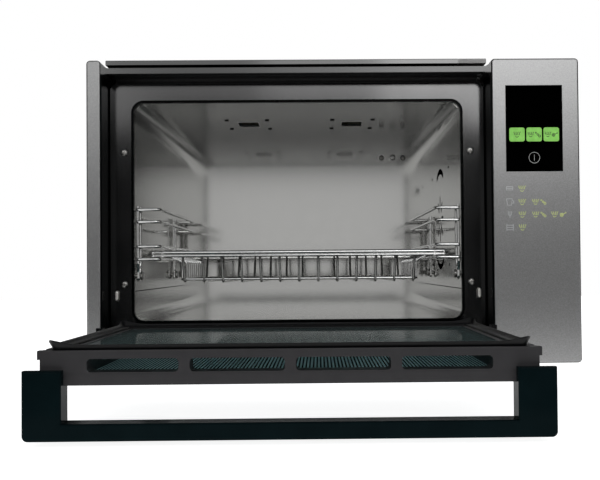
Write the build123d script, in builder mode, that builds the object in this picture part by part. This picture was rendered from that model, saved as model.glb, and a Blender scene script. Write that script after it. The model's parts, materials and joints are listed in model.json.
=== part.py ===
from build123d import *
from math import cos, radians, sin
import os

# Countertop fan oven with a drop-down door and a wire basket, in millimetres.
# X runs to the right, Y to the back and Z up. The door is drawn open, as it is at rest.
# The origin is on the table, under the middle of the oven with its door open.

# Cabinet
body_width = 520.0  # over the left post and the control panel
body_depth = 405.0  # front plane to the rear panel
panel_height = 322.0  # control panel, bottom to top
foot_height = 33.0
sheet = 1.0  # cover, rear panel and cavity walls
pan_sheet = 1.2
pan_flange = 22.0
cover_radius = 8.0
cover_tab = (30.0, 14.0)
cover_tab_spread = 150.0
side_vents = 9
side_vent_rise = 20.0  # pan's flange to the lowest side vent
vent_length = 60.0
vent_width = 4.0
vent_pitch = 12.0
pan_vents = (4, 8)
pan_vent_pitch = (78.0, 18.0)
rear_vents = (4, 5)
rear_vent_pitch = 72.0
rear_vent_drop = 48.0  # cavity ceiling to the middle of the rear vents
rear_screw_rise = 13.2
rear_screw_spread = 60.0
rear_screw_margins = (40.0, 80.0)  # left and right end of the pan to the outer screws

# Front: post on the left, panel on the right, recess between them
post_width = 15.0
post_rise = 0.4  # post's top above the panel's top
panel_width = 92.7
plate_thickness = 2.0  # silver front plates
outline = 1.0  # dark edge showing round the silver plates
corner_radius = 3.0
shell = 2.5  # wall of the post and the bezel
plate_round = 0.8  # rounding of the silver plates
recess_depth = 35.5
rail_drop = 14.0  # panel top to the underside of the top rail
surround_wall = 1.2
surround_setback = 0.5
rail_height = 6.0
shoulder_radius = 8.5  # sweep from the top rail up to the post and the panel
shoulder_depth = 12.0
rib = 1.2  # ribs on the recess's ceiling
rib_setbacks = (7.0, 25.0)
lid_gap = 4.0
lid_height = 5.0
lid_inset = 4.6
lid_setback = 4.0
lid_sheet = 1.0
vent_strip_width = 29.5
strip_slots = 20
strip_slot_length = 17.7
glass_width = 60.2
glass_height = 91.4
glass_drop = 28.7  # panel top to the touch glass's top
glass_shift = -1.6  # touch glass's centre from the panel's centre
glass_proud = 0.3
glass_edge = 0.24

# Front frame and cavity
frame_thickness = 4.0
frame_sheet = 1.2
frame_drop = 4.0  # top rail's underside to the raised face's top edge
frame_side_gap = 0.3
frame_radius = 7.0
bead_width = 2.8
bead_lap = 2.2  # how far the bead stands inside the cavity's walls
bead_proud = 1.0
bead_edge = 0.6
frame_side = 25.9  # recess's side to the cavity wall
cavity_head = 22.8  # cavity ceiling to the underside of the top rail
cavity_rear_gap = 33.5  # cavity back to the rear of the body
cavity_base = 43.9  # panel bottom to the cavity floor
cavity_top_radius = 22.0
cavity_corner_radius = 13.0
floor_upstand = 34.0
insulation = 15.0
insulation_round = 5.0
insulation_gap = 3.3  # buffer pin's housing to the side blanket
ceiling_vent_spread = 65.3  # vent's centre from the cavity's centre
ceiling_vent_depth = 173.0  # frame face to the vent's centre
ceiling_vent_size = (25.0, 35.0)
ceiling_vent_height = 18.0
ceiling_vent_outlet = (5.4, 14.4)  # bottom and top of the outlet above the ceiling
tab_slot = (5.0, 1.6)
tab_spread = (25.0, 35.5)
sensor_inset = 50.8  # cavity's right wall to the sensor's centre
sensor_drop = 24.7  # cavity ceiling to the sensor's centre
sensor_plate = (46.0, 14.0, 1.5)
sensor_screw_spread = 15.5
sensor_tip_diameter = 9.0
sensor_tip_length = 11.0
sensor_tip_round = 2.7

# Screws
screw_head_diameter = 7.5
screw_head_height = 2.0
screw_diameter = 4.0
screw_clearance = 0.1
frame_screw_inset = 17.65  # recess's side to the frame screws
frame_screw_margins = (85.6, 79.1)  # recess's bottom and top to the frame screws
cavity_screw_length = 9.0

# Convection fan on the right wall
fan_depth = 195.0  # frame face to the fan's axis
fan_drop = 0.55  # cavity's middle to the fan's axis
intake_slots = 8
intake_slot_width = 6.0
intake_inner = 12.0
intake_outer = 30.0
outlet_radius = 61.5
outlet_width = 7.0
outlet_angle = 56.0
chamber_size = 184.0
chamber_depth = 40.0
chamber_tab_spread = (82.0, 59.0)
heater_radius = 74.0
heater_diameter = 6.5
heater_standoff = 14.0  # cavity wall to the heater's centre
heater_arc = 320.0
heater_leg = 38.0
impeller_diameter = 112.0
impeller_width = 20.0
impeller_standoff = 8.0
impeller_plate = 1.4
impeller_blades = 12
hub_diameter = 18.0
shaft_diameter = 6.0
running_clearance = 0.05
rotor_diameter = 25.0
rotor_length = 20.0
rotor_gap = 0.4
motor_size = 62.0
motor_top = 21.7  # shaft to the stator's top
motor_gap = 8.0  # chamber to the stator
motor_length = 26.0
coil_width = 37.2
coil_drop = 6.0
bearing_plate = 40.3
bracket_thickness = 2.0
bracket_width = 30.0
bracket_length = 86.0
bracket_foot = 10.0
cutout_offset = 55.0  # fan's axis to the thermal cut-out, along Y and Z
cutout_diameter = 17.0
cutout_height = 11.0
cutout_tab = (1.0, 5.0, 6.0)
cutout_tab_spread = 4.5

# Electronics
board_thickness = 1.6
board_setback = 20.0
board_margin = 3.5
main_board_rise = 20.0  # panel bottom to the main board
main_board_gap = 13.5  # touch glass's bottom to the main board's top
display_thickness = 4.0
display_size = (48.6, 73.0)
standoff_diameter = 6.0
transformer = (36.0, 30.0, 40.0)
transformer_corner = (6.0, 20.0)  # board's left edge and top to the transformer
relay = (20.0, 16.0, 16.0)
relay_corner = (8.0, 14.0)  # board's left edge and bottom to the first relay
relay_pitch = 24.0
relays = 3
capacitor = (18.0, 26.0)
terminal_size = (50.0, 25.0, 19.0)
terminal_ways = 3
terminal_pitch = 16.5
terminal_hole = 11.0
terminal_gap = 10.0
cooler_size = 62.0
cooler_bore = 57.0
cooler_thickness = 20.0
cooler_bridge = 3.0
cooler_slots = 5
cooler_slot = (49.0, 5.0)
cooler_slot_pitch = 9.0
cooler_blade_chord = 11.0
cooler_blade_thickness = 1.5
cooler_blade_angle = 40.0
cooler_blade_root = 2.0  # how far a blade sinks into the hub
cooler_hub = 24.0
cooler_axle = 4.0
cooler_blades = 7
cooler_blade_gap = 2.0
cooler_hub_gap = 1.0
cooler_inset = 60.0  # right side of the body to the cooler's centre
cooler_drop = 53.0  # cover's top to the cooler's centre
gland_diameter = 24.0
gland_body = 18.0
gland_bore = 8.5
gland_proud = 6.0
gland_nut = 6.0
gland_inset = 45.0
gland_height = 42.0

# Wire ladders and basket
ladder_wire = 3.5
hairpin_bend = 2.1
runner_inset = 28.1  # cavity wall to the runner
runner_heights = (112.9, 126.9, 154.1, 167.6)
ladder_front = 22.0  # frame face to the front post
ladder_rear_gap = 56.0  # rear post to the cavity back
ladder_wall_gap = 1.5
hairpin_width = 14.0
hairpin_neck = 9.0
hairpin_top = 171.6
hairpin_shoulder = 108.4
hairpin_foot = 90.0
ladder_bend = 5.0
ladder_screw_diameter = 5.0
ladder_screw_head = 9.5
basket_wire = 3.0
side_wire = 2.0
rim_wire = 4.5
rim_side_gap = 13.05  # cavity wall to the rim
rim_front = 25.0  # frame face to the rim's front wire
rim_rear_gap = 10.0  # rim's rear wire to the ladder's rear post
rim_corner = 6.0
basket_drop = 32.4  # top rim to the floor wires
base_side_inset = 33.5  # rim to the base, at the sides
base_inset = 22.0  # rim to the base, at front and rear
basket_lift = 0.3
rest_span = 20.0  # level stretch of a side wire over its runner
knee_drop = 6.0  # level stretch to the top of a side wire's upright
long_pitch = 21.6
long_margin = 4.0  # least distance from the base's side to a long wire
side_wires = 11
floor_wires = 3
weld = 0.25  # how far crossing wires sink into each other
basket_bend = 5.0

# Door, measured from its hinge axis: reach towards its free edge, rise from its outer face
hinge_setback = 10.0
hinge_height = 23.1
door_heel = 12.0
door_head_gap = 9.5  # closed door's free edge to the underside of the top rail
door_thickness = 27.0
door_side_gap = 2.45  # recess's side to the outer glass
door_frame_inset = 11.9  # outer glass's side to the door frame
outer_glass = 5.0
inner_glass = 4.0
glass_lip = 6.0  # frame edge that covers the outer glass's end
window_rail = 26.0
window_heel = 34.0
window_head = 20.4
glass_rebate = 6.0
glass_clearance = 0.3
lug = 2.1
lug_height = 7.0
edge_vent_length = 73.0  # inner vents in the free edge
edge_vent_margin = 35.8  # door frame's side to the outer vents
edge_vent_gap = 8.6
edge_vent_rise = (10.1, 20.4)
edge_vent_radius = 3.0
strip_step = 0.8
strip_step_rise = 9.2
gasket_width = 8.0
gasket_side_inset = 7.8
gasket_head_inset = 3.0
gasket_heel = 4.0
gasket_lip = 2.4
gasket_height = 8.0
gasket_middle = 4.5  # height of the lip between its raised corners
gasket_ear = 26.0
gasket_flare = 3.0
gasket_radius = 12.0
handle_lap = 8.0
handle_depth = 20.0
handle_wrap = 12.0
handle_projection = 41.6
handle_bar = 13.5
handle_leg = 29.9
handle_radius = 4.5
handle_edge = 1.8
handle_screw_inset = 16.5
handle_screw_rise = 9.2
handle_screw_grip = 8.0  # door edge under the screw's head
handle_screw_bite = 5.5
handle_pocket = (10.0, 9.0)
arm_thickness = 3.0
arm_length = 70.0
arm_heel = 9.0
arm_height = 16.7
arm_radius = 4.0
pin_diameter = 6.0
pin_shoulder = 8.0
pin_gap = 0.4
pin_tail = 5.0

# Sprung buffer pins in the front frame
buffer_inset = 9.6  # recess's side to the pin
buffer_height = 73.4
buffer_size = (4.6, 10.7)
buffer_proud = 4.6
buffer_round = 1.4
buffer_gap = 0.3
buffer_collar = 0.8
buffer_collar_length = 2.5
buffer_tail = 11.0
housing_wall = 1.1
housing_depth = 20.0
keeper_width = 5.5
keeper_length = 14.0
keeper_clearance = 0.4

# Feet
foot_top_diameter = 36.0
foot_bottom_diameter = 30.0
foot_chamfer = 1.5
foot_front = 150.0  # front plane to the front feet
foot_rear = 50.0  # rear panel to the rear feet
foot_side = 45.0
foot_screw_head = 10.0
foot_screw_diameter = 5.0
foot_screw_seat = 22.0

# Sizes and places that follow
left_x = -body_width / 2
right_x = body_width / 2
recess_left = left_x + post_width
recess_right = right_x - panel_width
recess_width = recess_right - recess_left
recess_height = panel_height - rail_drop
post_height = panel_height + post_rise
cavity_width = recess_width - 2 * frame_side
frame_hole = bead_width - bead_lap
cavity_height = recess_height - cavity_base - cavity_head
cavity_depth = body_depth - recess_depth - frame_thickness - cavity_rear_gap
frame_screw_spread = recess_width / 2 - frame_screw_inset
frame_screw_heights = (frame_screw_margins[0], recess_height - frame_screw_margins[1])
buffer_spread = recess_width / 2 - buffer_inset
ladder_rear = frame_thickness + cavity_depth - ladder_rear_gap
rim_width = cavity_width - 2 * rim_side_gap
rim_length = ladder_rear - rim_rear_gap - rim_front
base_width = rim_width - 2 * base_side_inset
long_wires = int((base_width - 2 * long_margin) / long_pitch) + 1
door_reach = recess_height - hinge_height - door_head_gap
outer_glass_width = recess_width - 2 * door_side_gap
door_frame_width = outer_glass_width - 2 * door_frame_inset
vent_room = door_frame_width - 2 * edge_vent_margin - 3 * edge_vent_gap
edge_vents = (edge_vent_length, vent_room / 2 - edge_vent_length)  # inner and outer vents
centre_x = (recess_left + recess_right) / 2
panel_x = (recess_right + right_x) / 2
front_y = -(hinge_setback - door_reach - handle_lap + body_depth + gland_proud) / 2
rear_y = front_y + body_depth
face_y = front_y + recess_depth
wall_y = face_y + frame_thickness
back_y = wall_y + cavity_depth
base_z = foot_height
rail_z = base_z + recess_height
cover_z = rail_z + rail_height + lid_gap
floor_z = base_z + cavity_base
ceiling_z = floor_z + cavity_height
seam_z = floor_z + floor_upstand
cavity_left = centre_x - cavity_width / 2
cavity_right = centre_x + cavity_width / 2
fan_y = face_y + fan_depth
fan_z = (floor_z + ceiling_z) / 2 - fan_drop
hinge_y = front_y + hinge_setback
hinge_z = base_z + hinge_height
outer_z = hinge_z - hinge_setback
inner_z = outer_z + door_thickness
screw_hole = screw_diameter + 2 * screw_clearance
SIDES = (("left", -1), ("right", 1))

os.makedirs("parts", exist_ok=True)


def front_plane(y):
    """Plane facing the front at y, with its own x along X and its own y along Z."""
    return Plane(origin=(0, y, 0), x_dir=(1, 0, 0), z_dir=(0, -1, 0))


def block(x, y, z, mode=Mode.ADD):
    """Adds or cuts a box between pairs of coordinates in the open part."""
    with Locations((sum(x) / 2, sum(y) / 2, sum(z) / 2)):
        Box(abs(x[1] - x[0]), abs(y[1] - y[0]), abs(z[1] - z[0]), mode=mode)


def rod(start, end, diameter, mode=Mode.ADD):
    """Adds or cuts a round bar between two points in the open part."""
    axis = Vector(*end) - Vector(*start)
    with Locations(Plane(origin=start, z_dir=axis)):
        Cylinder(diameter / 2, axis.length, align=(Align.CENTER, Align.CENTER, Align.MIN), mode=mode)


def rounded(sketch, x, z, top, bottom):
    """Draws a rectangle in the open sketch with rounded top and bottom corners."""
    with Locations((sum(x) / 2, sum(z) / 2)):
        Rectangle(x[1] - x[0], z[1] - z[0])
    if top > 0:
        fillet(sketch.vertices().group_by(Axis.Y)[-1], top)
    if bottom > 0:
        fillet(sketch.vertices().group_by(Axis.Y)[0], bottom)


def cavity_section(sketch, grow):
    """Draws the cavity's section in the open sketch, grown outwards by grow."""
    rounded(
        sketch,
        (cavity_left - grow, cavity_right + grow),
        (floor_z - grow, ceiling_z + grow),
        cavity_top_radius + grow,
        cavity_corner_radius + grow,
    )


def opening_section(sketch, grow):
    """Draws the cavity's mouth in the open sketch, grown outwards by grow."""
    rounded(
        sketch,
        (cavity_left - grow, cavity_right + grow),
        (floor_z - grow, ceiling_z + grow),
        cavity_corner_radius + grow,
        cavity_corner_radius + grow,
    )


def bent_wire(points, diameter, bend, close=False):
    """One wire of round section along points, with bends of one radius."""
    with BuildPart() as wire:
        with BuildLine():
            path = FilletPolyline(*points, radius=bend, close=close)
        with BuildSketch(Plane(origin=path @ 0, z_dir=path % 0)):
            Circle(diameter / 2)
        sweep()
    return wire.part


def keep(piece, name):
    """Names a finished piece and writes it."""
    piece.part.label = name
    export_step(piece.part, f"parts/{name}.step")


# Base pan: a tray that stands on the feet and carries everything else
foot_places = {
    "front_left": (left_x + foot_side, front_y + foot_front),
    "front_right": (right_x - foot_side, front_y + foot_front),
    "rear_left": (left_x + foot_side, rear_y - foot_rear),
    "rear_right": (right_x - foot_side, rear_y - foot_rear),
}
pan_x = (left_x + sheet, right_x - sheet)
pan_y = (wall_y, rear_y - sheet)
pan_z = (base_z, base_z + pan_sheet)
flange_z = (base_z, base_z + pan_flange)
rear_screw_x = (pan_x[0] + rear_screw_margins[0], centre_x - rear_screw_spread,
                centre_x + rear_screw_spread, pan_x[1] - rear_screw_margins[1])
rear_screw_z = base_z + rear_screw_rise
with BuildPart() as base_pan:
    block(pan_x, pan_y, pan_z)
    block((recess_left, recess_right), (front_y + surround_setback, wall_y), pan_z)
    block((pan_x[0], pan_x[0] + pan_sheet), pan_y, flange_z)
    block((pan_x[1] - pan_sheet, pan_x[1]), pan_y, flange_z)
    block(pan_x, (pan_y[1] - pan_sheet, pan_y[1]), flange_z)
    with Locations((centre_x, sum(pan_y) / 2, base_z)):
        with GridLocations(*pan_vent_pitch, *pan_vents):
            Box(vent_length, vent_width, pan_sheet * 4, mode=Mode.SUBTRACT)
    for x, y in foot_places.values():
        rod((x, y, base_z - sheet), (x, y, base_z + pan_sheet * 2),
            foot_screw_diameter + 2 * screw_clearance, Mode.SUBTRACT)
    for x in rear_screw_x:
        rod((x, pan_y[1] - pan_sheet * 2, rear_screw_z), (x, pan_y[1] + sheet, rear_screw_z),
            screw_hole, Mode.SUBTRACT)
keep(base_pan, "base_pan")

# Outer cover: sides and top in one folded sheet, with vent slots low on both sides
cover_tab_x = (centre_x - cover_tab_spread, centre_x + cover_tab_spread)
cover_screw_z = cover_z - sheet - cover_tab[1] / 2
cover_vent_y = rear_y - vent_length
cover_vent_z = flange_z[1] + side_vent_rise + vent_pitch * (side_vents - 1) / 2
with BuildPart() as outer_cover:
    with BuildSketch(front_plane(wall_y)) as section:
        rounded(section, (left_x, right_x), (base_z, cover_z), cover_radius, 0)
    extrude(amount=-(rear_y - wall_y))
    with BuildSketch(front_plane(wall_y)) as section:
        rounded(section, (left_x + sheet, right_x - sheet), (base_z, cover_z - sheet),
                cover_radius - sheet, 0)
    extrude(amount=-(rear_y - wall_y), mode=Mode.SUBTRACT)
    for x in cover_tab_x:
        block((x - cover_tab[0] / 2, x + cover_tab[0] / 2), (rear_y - 2 * sheet, rear_y - sheet),
              (cover_z - sheet - cover_tab[1], cover_z - sheet / 2))
        rod((x, rear_y - 3 * sheet, cover_screw_z), (x, rear_y, cover_screw_z), screw_hole, Mode.SUBTRACT)
    with BuildSketch(Plane.YZ.offset(left_x - sheet)):
        with Locations((cover_vent_y, cover_vent_z)):
            with GridLocations(vent_length, vent_pitch, 1, side_vents):
                SlotOverall(vent_length, vent_width)
    extrude(amount=body_width + 2 * sheet, mode=Mode.SUBTRACT)
keep(outer_cover, "outer_cover")

# Rear panel: closes the cover, with vents for the cavity side and for the cooling fan
cooler_x = right_x - cooler_inset
cooler_z = cover_z - cooler_drop
gland_x = right_x - gland_inset
gland_z = base_z + gland_height
rear_screw_places = [(x, rear_screw_z) for x in rear_screw_x] + [(x, cover_screw_z) for x in cover_tab_x]
with BuildPart() as rear_panel:
    with BuildSketch(front_plane(rear_y - sheet)) as section:
        rounded(section, (left_x + sheet, right_x - sheet), (base_z + pan_sheet, cover_z - sheet),
                cover_radius - sheet, 0)
        with Locations((cooler_x, cooler_z)):
            with GridLocations(cooler_bore, cooler_slot_pitch, 1, cooler_slots):
                SlotOverall(*cooler_slot, mode=Mode.SUBTRACT)
        with Locations((centre_x, ceiling_z - rear_vent_drop)):
            with GridLocations(rear_vent_pitch, vent_pitch, *rear_vents):
                SlotOverall(vent_length, vent_width, mode=Mode.SUBTRACT)
        with Locations((gland_x, gland_z)):
            Circle(gland_body / 2, mode=Mode.SUBTRACT)
        with Locations(*rear_screw_places):
            Circle(screw_hole / 2, mode=Mode.SUBTRACT)
    extrude(amount=-sheet)
keep(rear_panel, "rear_panel")

with BuildPart() as rear_screws:
    for x, z in rear_screw_places:
        rod((x, rear_y, z), (x, rear_y + screw_head_height, z), screw_head_diameter)
        rod((x, rear_y - 4 * pan_sheet, z), (x, rear_y, z), screw_diameter)
keep(rear_screws, "rear_screws")

# Lid over the cabinet's top, and the matt vent strip beside it
lid_x = (recess_left + lid_inset, recess_right - lid_inset)
lid_split = lid_x[1] - vent_strip_width
lid_y = (front_y + lid_setback, rear_y - lid_setback)
lid_z = (cover_z, cover_z + lid_height)
with BuildPart() as top_lid:
    block((lid_x[0], lid_split), lid_y, lid_z)
    fillet(top_lid.edges().group_by(Axis.Z)[-1], lid_sheet)
    block((lid_x[0] + lid_sheet, lid_split - lid_sheet), (lid_y[0] + lid_sheet, lid_y[1] - lid_sheet),
          (lid_z[0] - lid_sheet, lid_z[1] - lid_sheet), Mode.SUBTRACT)
keep(top_lid, "top_lid")

with BuildPart() as top_vent_strip:
    block((lid_split, lid_x[1]), lid_y, lid_z)
    fillet(top_vent_strip.edges().group_by(Axis.Z)[-1], lid_sheet)
    block((lid_split + lid_sheet, lid_x[1] - lid_sheet), (lid_y[0] + lid_sheet, lid_y[1] - lid_sheet),
          (lid_z[0] - lid_sheet, lid_z[1] - lid_sheet), Mode.SUBTRACT)
    with BuildSketch(Plane.XY.offset(lid_z[1] + lid_sheet)):
        with Locations(((lid_split + lid_x[1]) / 2, sum(lid_y) / 2)):
            with GridLocations(vent_strip_width, vent_pitch, 1, strip_slots):
                SlotOverall(strip_slot_length, vent_width)
    extrude(amount=-3 * lid_sheet, mode=Mode.SUBTRACT)
keep(top_vent_strip, "top_vent_strip")

# Left post: a dark tray with a silver plate on its front
post_z = (base_z, base_z + post_height)
with BuildPart() as left_post:
    with BuildSketch(front_plane(front_y + plate_thickness)) as section:
        rounded(section, (left_x, recess_left), post_z, corner_radius + outline, 0)
    extrude(amount=-(wall_y - front_y - plate_thickness))
    with BuildSketch(front_plane(front_y + plate_thickness + shell)) as section:
        rounded(section, (left_x + shell, recess_left - shell), (post_z[0] + shell, cover_z - shell),
                corner_radius, 0)
    extrude(amount=-(wall_y - front_y), mode=Mode.SUBTRACT)
    rod((recess_left - 2 * shell, hinge_y, hinge_z), (recess_left + shell, hinge_y, hinge_z),
        pin_tail + 2 * screw_clearance, Mode.SUBTRACT)
keep(left_post, "left_post")

with BuildPart() as left_trim:
    with BuildSketch(front_plane(front_y + plate_thickness)) as section:
        rounded(section, (left_x + outline, recess_left - outline / 2), (post_z[0], post_z[1] - outline),
                corner_radius, 0)
    extrude(amount=plate_thickness)
    fillet(left_trim.faces().sort_by(Axis.Y)[0].edges(), plate_round)
keep(left_trim, "left_trim")

# Control panel: dark bezel tray, silver fascia, black touch glass
panel_z = (base_z, base_z + panel_height)
glass_x = panel_x + glass_shift
glass_z = panel_z[1] - glass_drop - glass_height / 2
with BuildPart() as control_bezel:
    with BuildSketch(front_plane(front_y + plate_thickness)) as section:
        rounded(section, (recess_right, right_x), panel_z, corner_radius + outline, corner_radius + outline)
    extrude(amount=-(wall_y - front_y - plate_thickness))
    with BuildSketch(front_plane(front_y + plate_thickness + shell)) as section:
        rounded(section, (recess_right + shell, right_x - shell), (panel_z[0] + shell, cover_z - shell),
                corner_radius, corner_radius)
    extrude(amount=-(wall_y - front_y), mode=Mode.SUBTRACT)
    rod((recess_right - shell, hinge_y, hinge_z), (recess_right + 2 * shell, hinge_y, hinge_z),
        pin_tail + 2 * screw_clearance, Mode.SUBTRACT)
keep(control_bezel, "control_bezel")

with BuildPart() as control_fascia:
    with BuildSketch(front_plane(front_y + plate_thickness)) as section:
        rounded(section, (recess_right + outline, right_x - outline),
                (panel_z[0] + outline, panel_z[1] - outline), corner_radius, corner_radius)
    extrude(amount=plate_thickness)
    fillet(control_fascia.faces().sort_by(Axis.Y)[0].edges(), plate_round)
    block((glass_x - glass_width / 2, glass_x + glass_width / 2), (front_y - shell, front_y + shell),
          (glass_z - glass_height / 2, glass_z + glass_height / 2), Mode.SUBTRACT)
keep(control_fascia, "control_fascia")

with BuildPart() as touch_glass:
    block((glass_x - glass_width / 2, glass_x + glass_width / 2),
          (front_y - glass_proud, front_y + plate_thickness),
          (glass_z - glass_height / 2, glass_z + glass_height / 2))
    fillet(touch_glass.faces().sort_by(Axis.Y)[0].edges(), glass_edge)
keep(touch_glass, "touch_glass")

# Boards behind the control panel
bezel_y = front_y + plate_thickness + shell
board_x = (recess_right + shell + board_margin, right_x - shell - board_margin)
board_z = (base_z + main_board_rise, glass_z - glass_height / 2 - main_board_gap)
board_y = bezel_y + board_setback
with BuildPart() as display_board:
    block((glass_x - display_size[0] / 2, glass_x + display_size[0] / 2),
          (bezel_y, bezel_y + display_thickness),
          (glass_z - display_size[1] / 2, glass_z + display_size[1] / 2))
    block(board_x, (bezel_y + display_thickness, bezel_y + display_thickness + board_thickness),
          (glass_z - glass_height / 2, glass_z + glass_height / 2))
keep(display_board, "display_board")

with BuildPart() as main_board:
    block(board_x, (board_y, board_y + board_thickness), board_z)
    component_y = board_y + board_thickness
    transformer_x = board_x[0] + transformer_corner[0]
    transformer_z = board_z[1] - transformer_corner[1]
    block((transformer_x, transformer_x + transformer[0]), (component_y, component_y + transformer[1]),
          (transformer_z - transformer[2], transformer_z))
    relay_x = board_x[0] + relay_corner[0]
    capacitor_x = board_x[1] - capacitor[0]
    for step in range(relays):
        relay_z = board_z[0] + relay_corner[1] + step * relay_pitch
        capacitor_z = relay_z + relay[2] / 2
        block((relay_x, relay_x + relay[0]), (component_y, component_y + relay[1]),
              (relay_z, relay_z + relay[2]))
        rod((capacitor_x, component_y, capacitor_z), (capacitor_x, component_y + capacitor[1], capacitor_z),
            capacitor[0])
keep(main_board, "main_board")

with BuildPart() as board_standoffs:
    for x in (board_x[0] + standoff_diameter, board_x[1] - standoff_diameter):
        for z in (board_z[0] + standoff_diameter, board_z[1] - standoff_diameter):
            rod((x, bezel_y, z), (x, board_y, z), standoff_diameter)
keep(board_standoffs, "board_standoffs")

with BuildPart() as terminal_block:
    terminal_y = rear_y - sheet - pan_sheet - terminal_size[1] - terminal_gap
    block((gland_x - terminal_size[0] / 2, gland_x + terminal_size[0] / 2),
          (terminal_y, terminal_y + terminal_size[1]), (pan_z[1], pan_z[1] + terminal_size[2]))
    with Locations((gland_x, terminal_y + terminal_size[1] / 2, pan_z[1] + terminal_size[2])):
        with GridLocations(terminal_pitch, terminal_pitch, terminal_ways, 1):
            Cylinder(terminal_hole / 2, terminal_size[2], mode=Mode.SUBTRACT)
keep(terminal_block, "terminal_block")

with BuildPart() as cord_gland:
    rod((gland_x, rear_y, gland_z), (gland_x, rear_y + gland_proud, gland_z), gland_diameter)
    fillet(cord_gland.faces().sort_by(Axis.Y)[-1].edges(), gland_proud / 3)
    rod((gland_x, rear_y - sheet - gland_nut, gland_z), (gland_x, rear_y, gland_z), gland_body)
    rod((gland_x, rear_y - sheet - gland_nut, gland_z), (gland_x, rear_y - sheet, gland_z), gland_diameter)
    rod((gland_x, rear_y - sheet - 2 * gland_nut, gland_z), (gland_x, rear_y + 2 * gland_proud, gland_z),
        gland_bore, Mode.SUBTRACT)
keep(cord_gland, "cord_gland")

# Cooling fan on the rear panel: a square frame with a bridge that holds the axle
cooler_y = (rear_y - sheet - cooler_thickness, rear_y - sheet)
bridge_y = cooler_y[1] - cooler_bridge
with BuildPart() as cooler_frame:
    block((cooler_x - cooler_size / 2, cooler_x + cooler_size / 2), cooler_y,
          (cooler_z - cooler_size / 2, cooler_z + cooler_size / 2))
    fillet(cooler_frame.edges().filter_by(Axis.Y), corner_radius)
    rod((cooler_x, cooler_y[0] - sheet, cooler_z), (cooler_x, cooler_y[1] + sheet, cooler_z),
        cooler_bore, Mode.SUBTRACT)
    block((cooler_x - cooler_size / 2, cooler_x + cooler_size / 2), (bridge_y, cooler_y[1]),
          (cooler_z - cooler_bridge, cooler_z + cooler_bridge))
    rod((cooler_x, bridge_y, cooler_z), (cooler_x, cooler_y[1], cooler_z), cooler_hub)
    rod((cooler_x, cooler_y[0] + cooler_bridge, cooler_z), (cooler_x, cooler_y[1], cooler_z), cooler_axle)
keep(cooler_frame, "cooler_frame")

cooler_hub_y = (cooler_y[0] + cooler_bridge / 2, bridge_y - cooler_hub_gap)
blade_span = (cooler_hub / 2 - cooler_blade_root, cooler_bore / 2 - cooler_blade_gap)
with BuildPart() as cooler_impeller:
    rod((cooler_x, cooler_hub_y[0], cooler_z), (cooler_x, cooler_hub_y[1], cooler_z), cooler_hub)
    for step in range(cooler_blades):
        angle = step * 360 / cooler_blades
        radius = sum(blade_span) / 2
        place = Location((cooler_x + radius * cos(radians(angle)), sum(cooler_hub_y) / 2,
                          cooler_z + radius * sin(radians(angle))), (0, -angle, 0))
        with Locations(place * Location((0, 0, 0), (cooler_blade_angle, 0, 0))):
            Box(blade_span[1] - blade_span[0], cooler_blade_chord, cooler_blade_thickness)
    rod((cooler_x, cooler_y[0] + cooler_bridge, cooler_z), (cooler_x, bridge_y, cooler_z),
        cooler_axle + 2 * running_clearance, Mode.SUBTRACT)
keep(cooler_impeller, "cooler_impeller")

# Black surround: the recess's side walls, and the top rail with its ribs and shoulders
surround_y = (front_y + surround_setback, wall_y)
surround_z = (base_z + pan_sheet, rail_z + rail_height)
with BuildPart() as front_surround:
    block((recess_left, recess_right), surround_y, surround_z)
    with BuildSketch(front_plane(surround_y[0])) as section:
        rounded(section, (recess_left + surround_wall, recess_right - surround_wall),
                (surround_z[0] - surround_wall, rail_z), frame_radius - surround_wall, 0)
    extrude(amount=-(surround_y[1] - surround_y[0]), mode=Mode.SUBTRACT)
    with BuildSketch(front_plane(surround_y[0])) as shoulders:
        shoulder_top = base_z + panel_height - corner_radius
        for edge, side in ((recess_left, 1), (recess_right, -1)):
            with Locations((edge + side * shoulder_radius / 2, (surround_z[1] + shoulder_top) / 2)):
                Rectangle(shoulder_radius, shoulder_top - surround_z[1])
            with Locations((edge + side * shoulder_radius, surround_z[1] + shoulder_radius)):
                Circle(shoulder_radius, mode=Mode.SUBTRACT)
            with Locations((edge + side * shoulder_radius, shoulder_top + shoulder_radius)):
                Rectangle(2 * shoulder_radius, 2 * shoulder_radius, mode=Mode.SUBTRACT)
    extrude(amount=-shoulder_depth)
    block(lid_x, (wall_y - surround_wall, wall_y), (surround_z[1], cover_z - screw_clearance))
    for setback in rib_setbacks:
        block((recess_left + frame_radius, recess_right - frame_radius),
              (surround_y[0] + setback, surround_y[0] + setback + rib), (rail_z - rib / 2, rail_z + rib))
    rod((recess_left - surround_wall, hinge_y, hinge_z), (recess_right + surround_wall, hinge_y, hinge_z),
        pin_tail + 2 * screw_clearance, Mode.SUBTRACT)
keep(front_surround, "front_surround")

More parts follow.
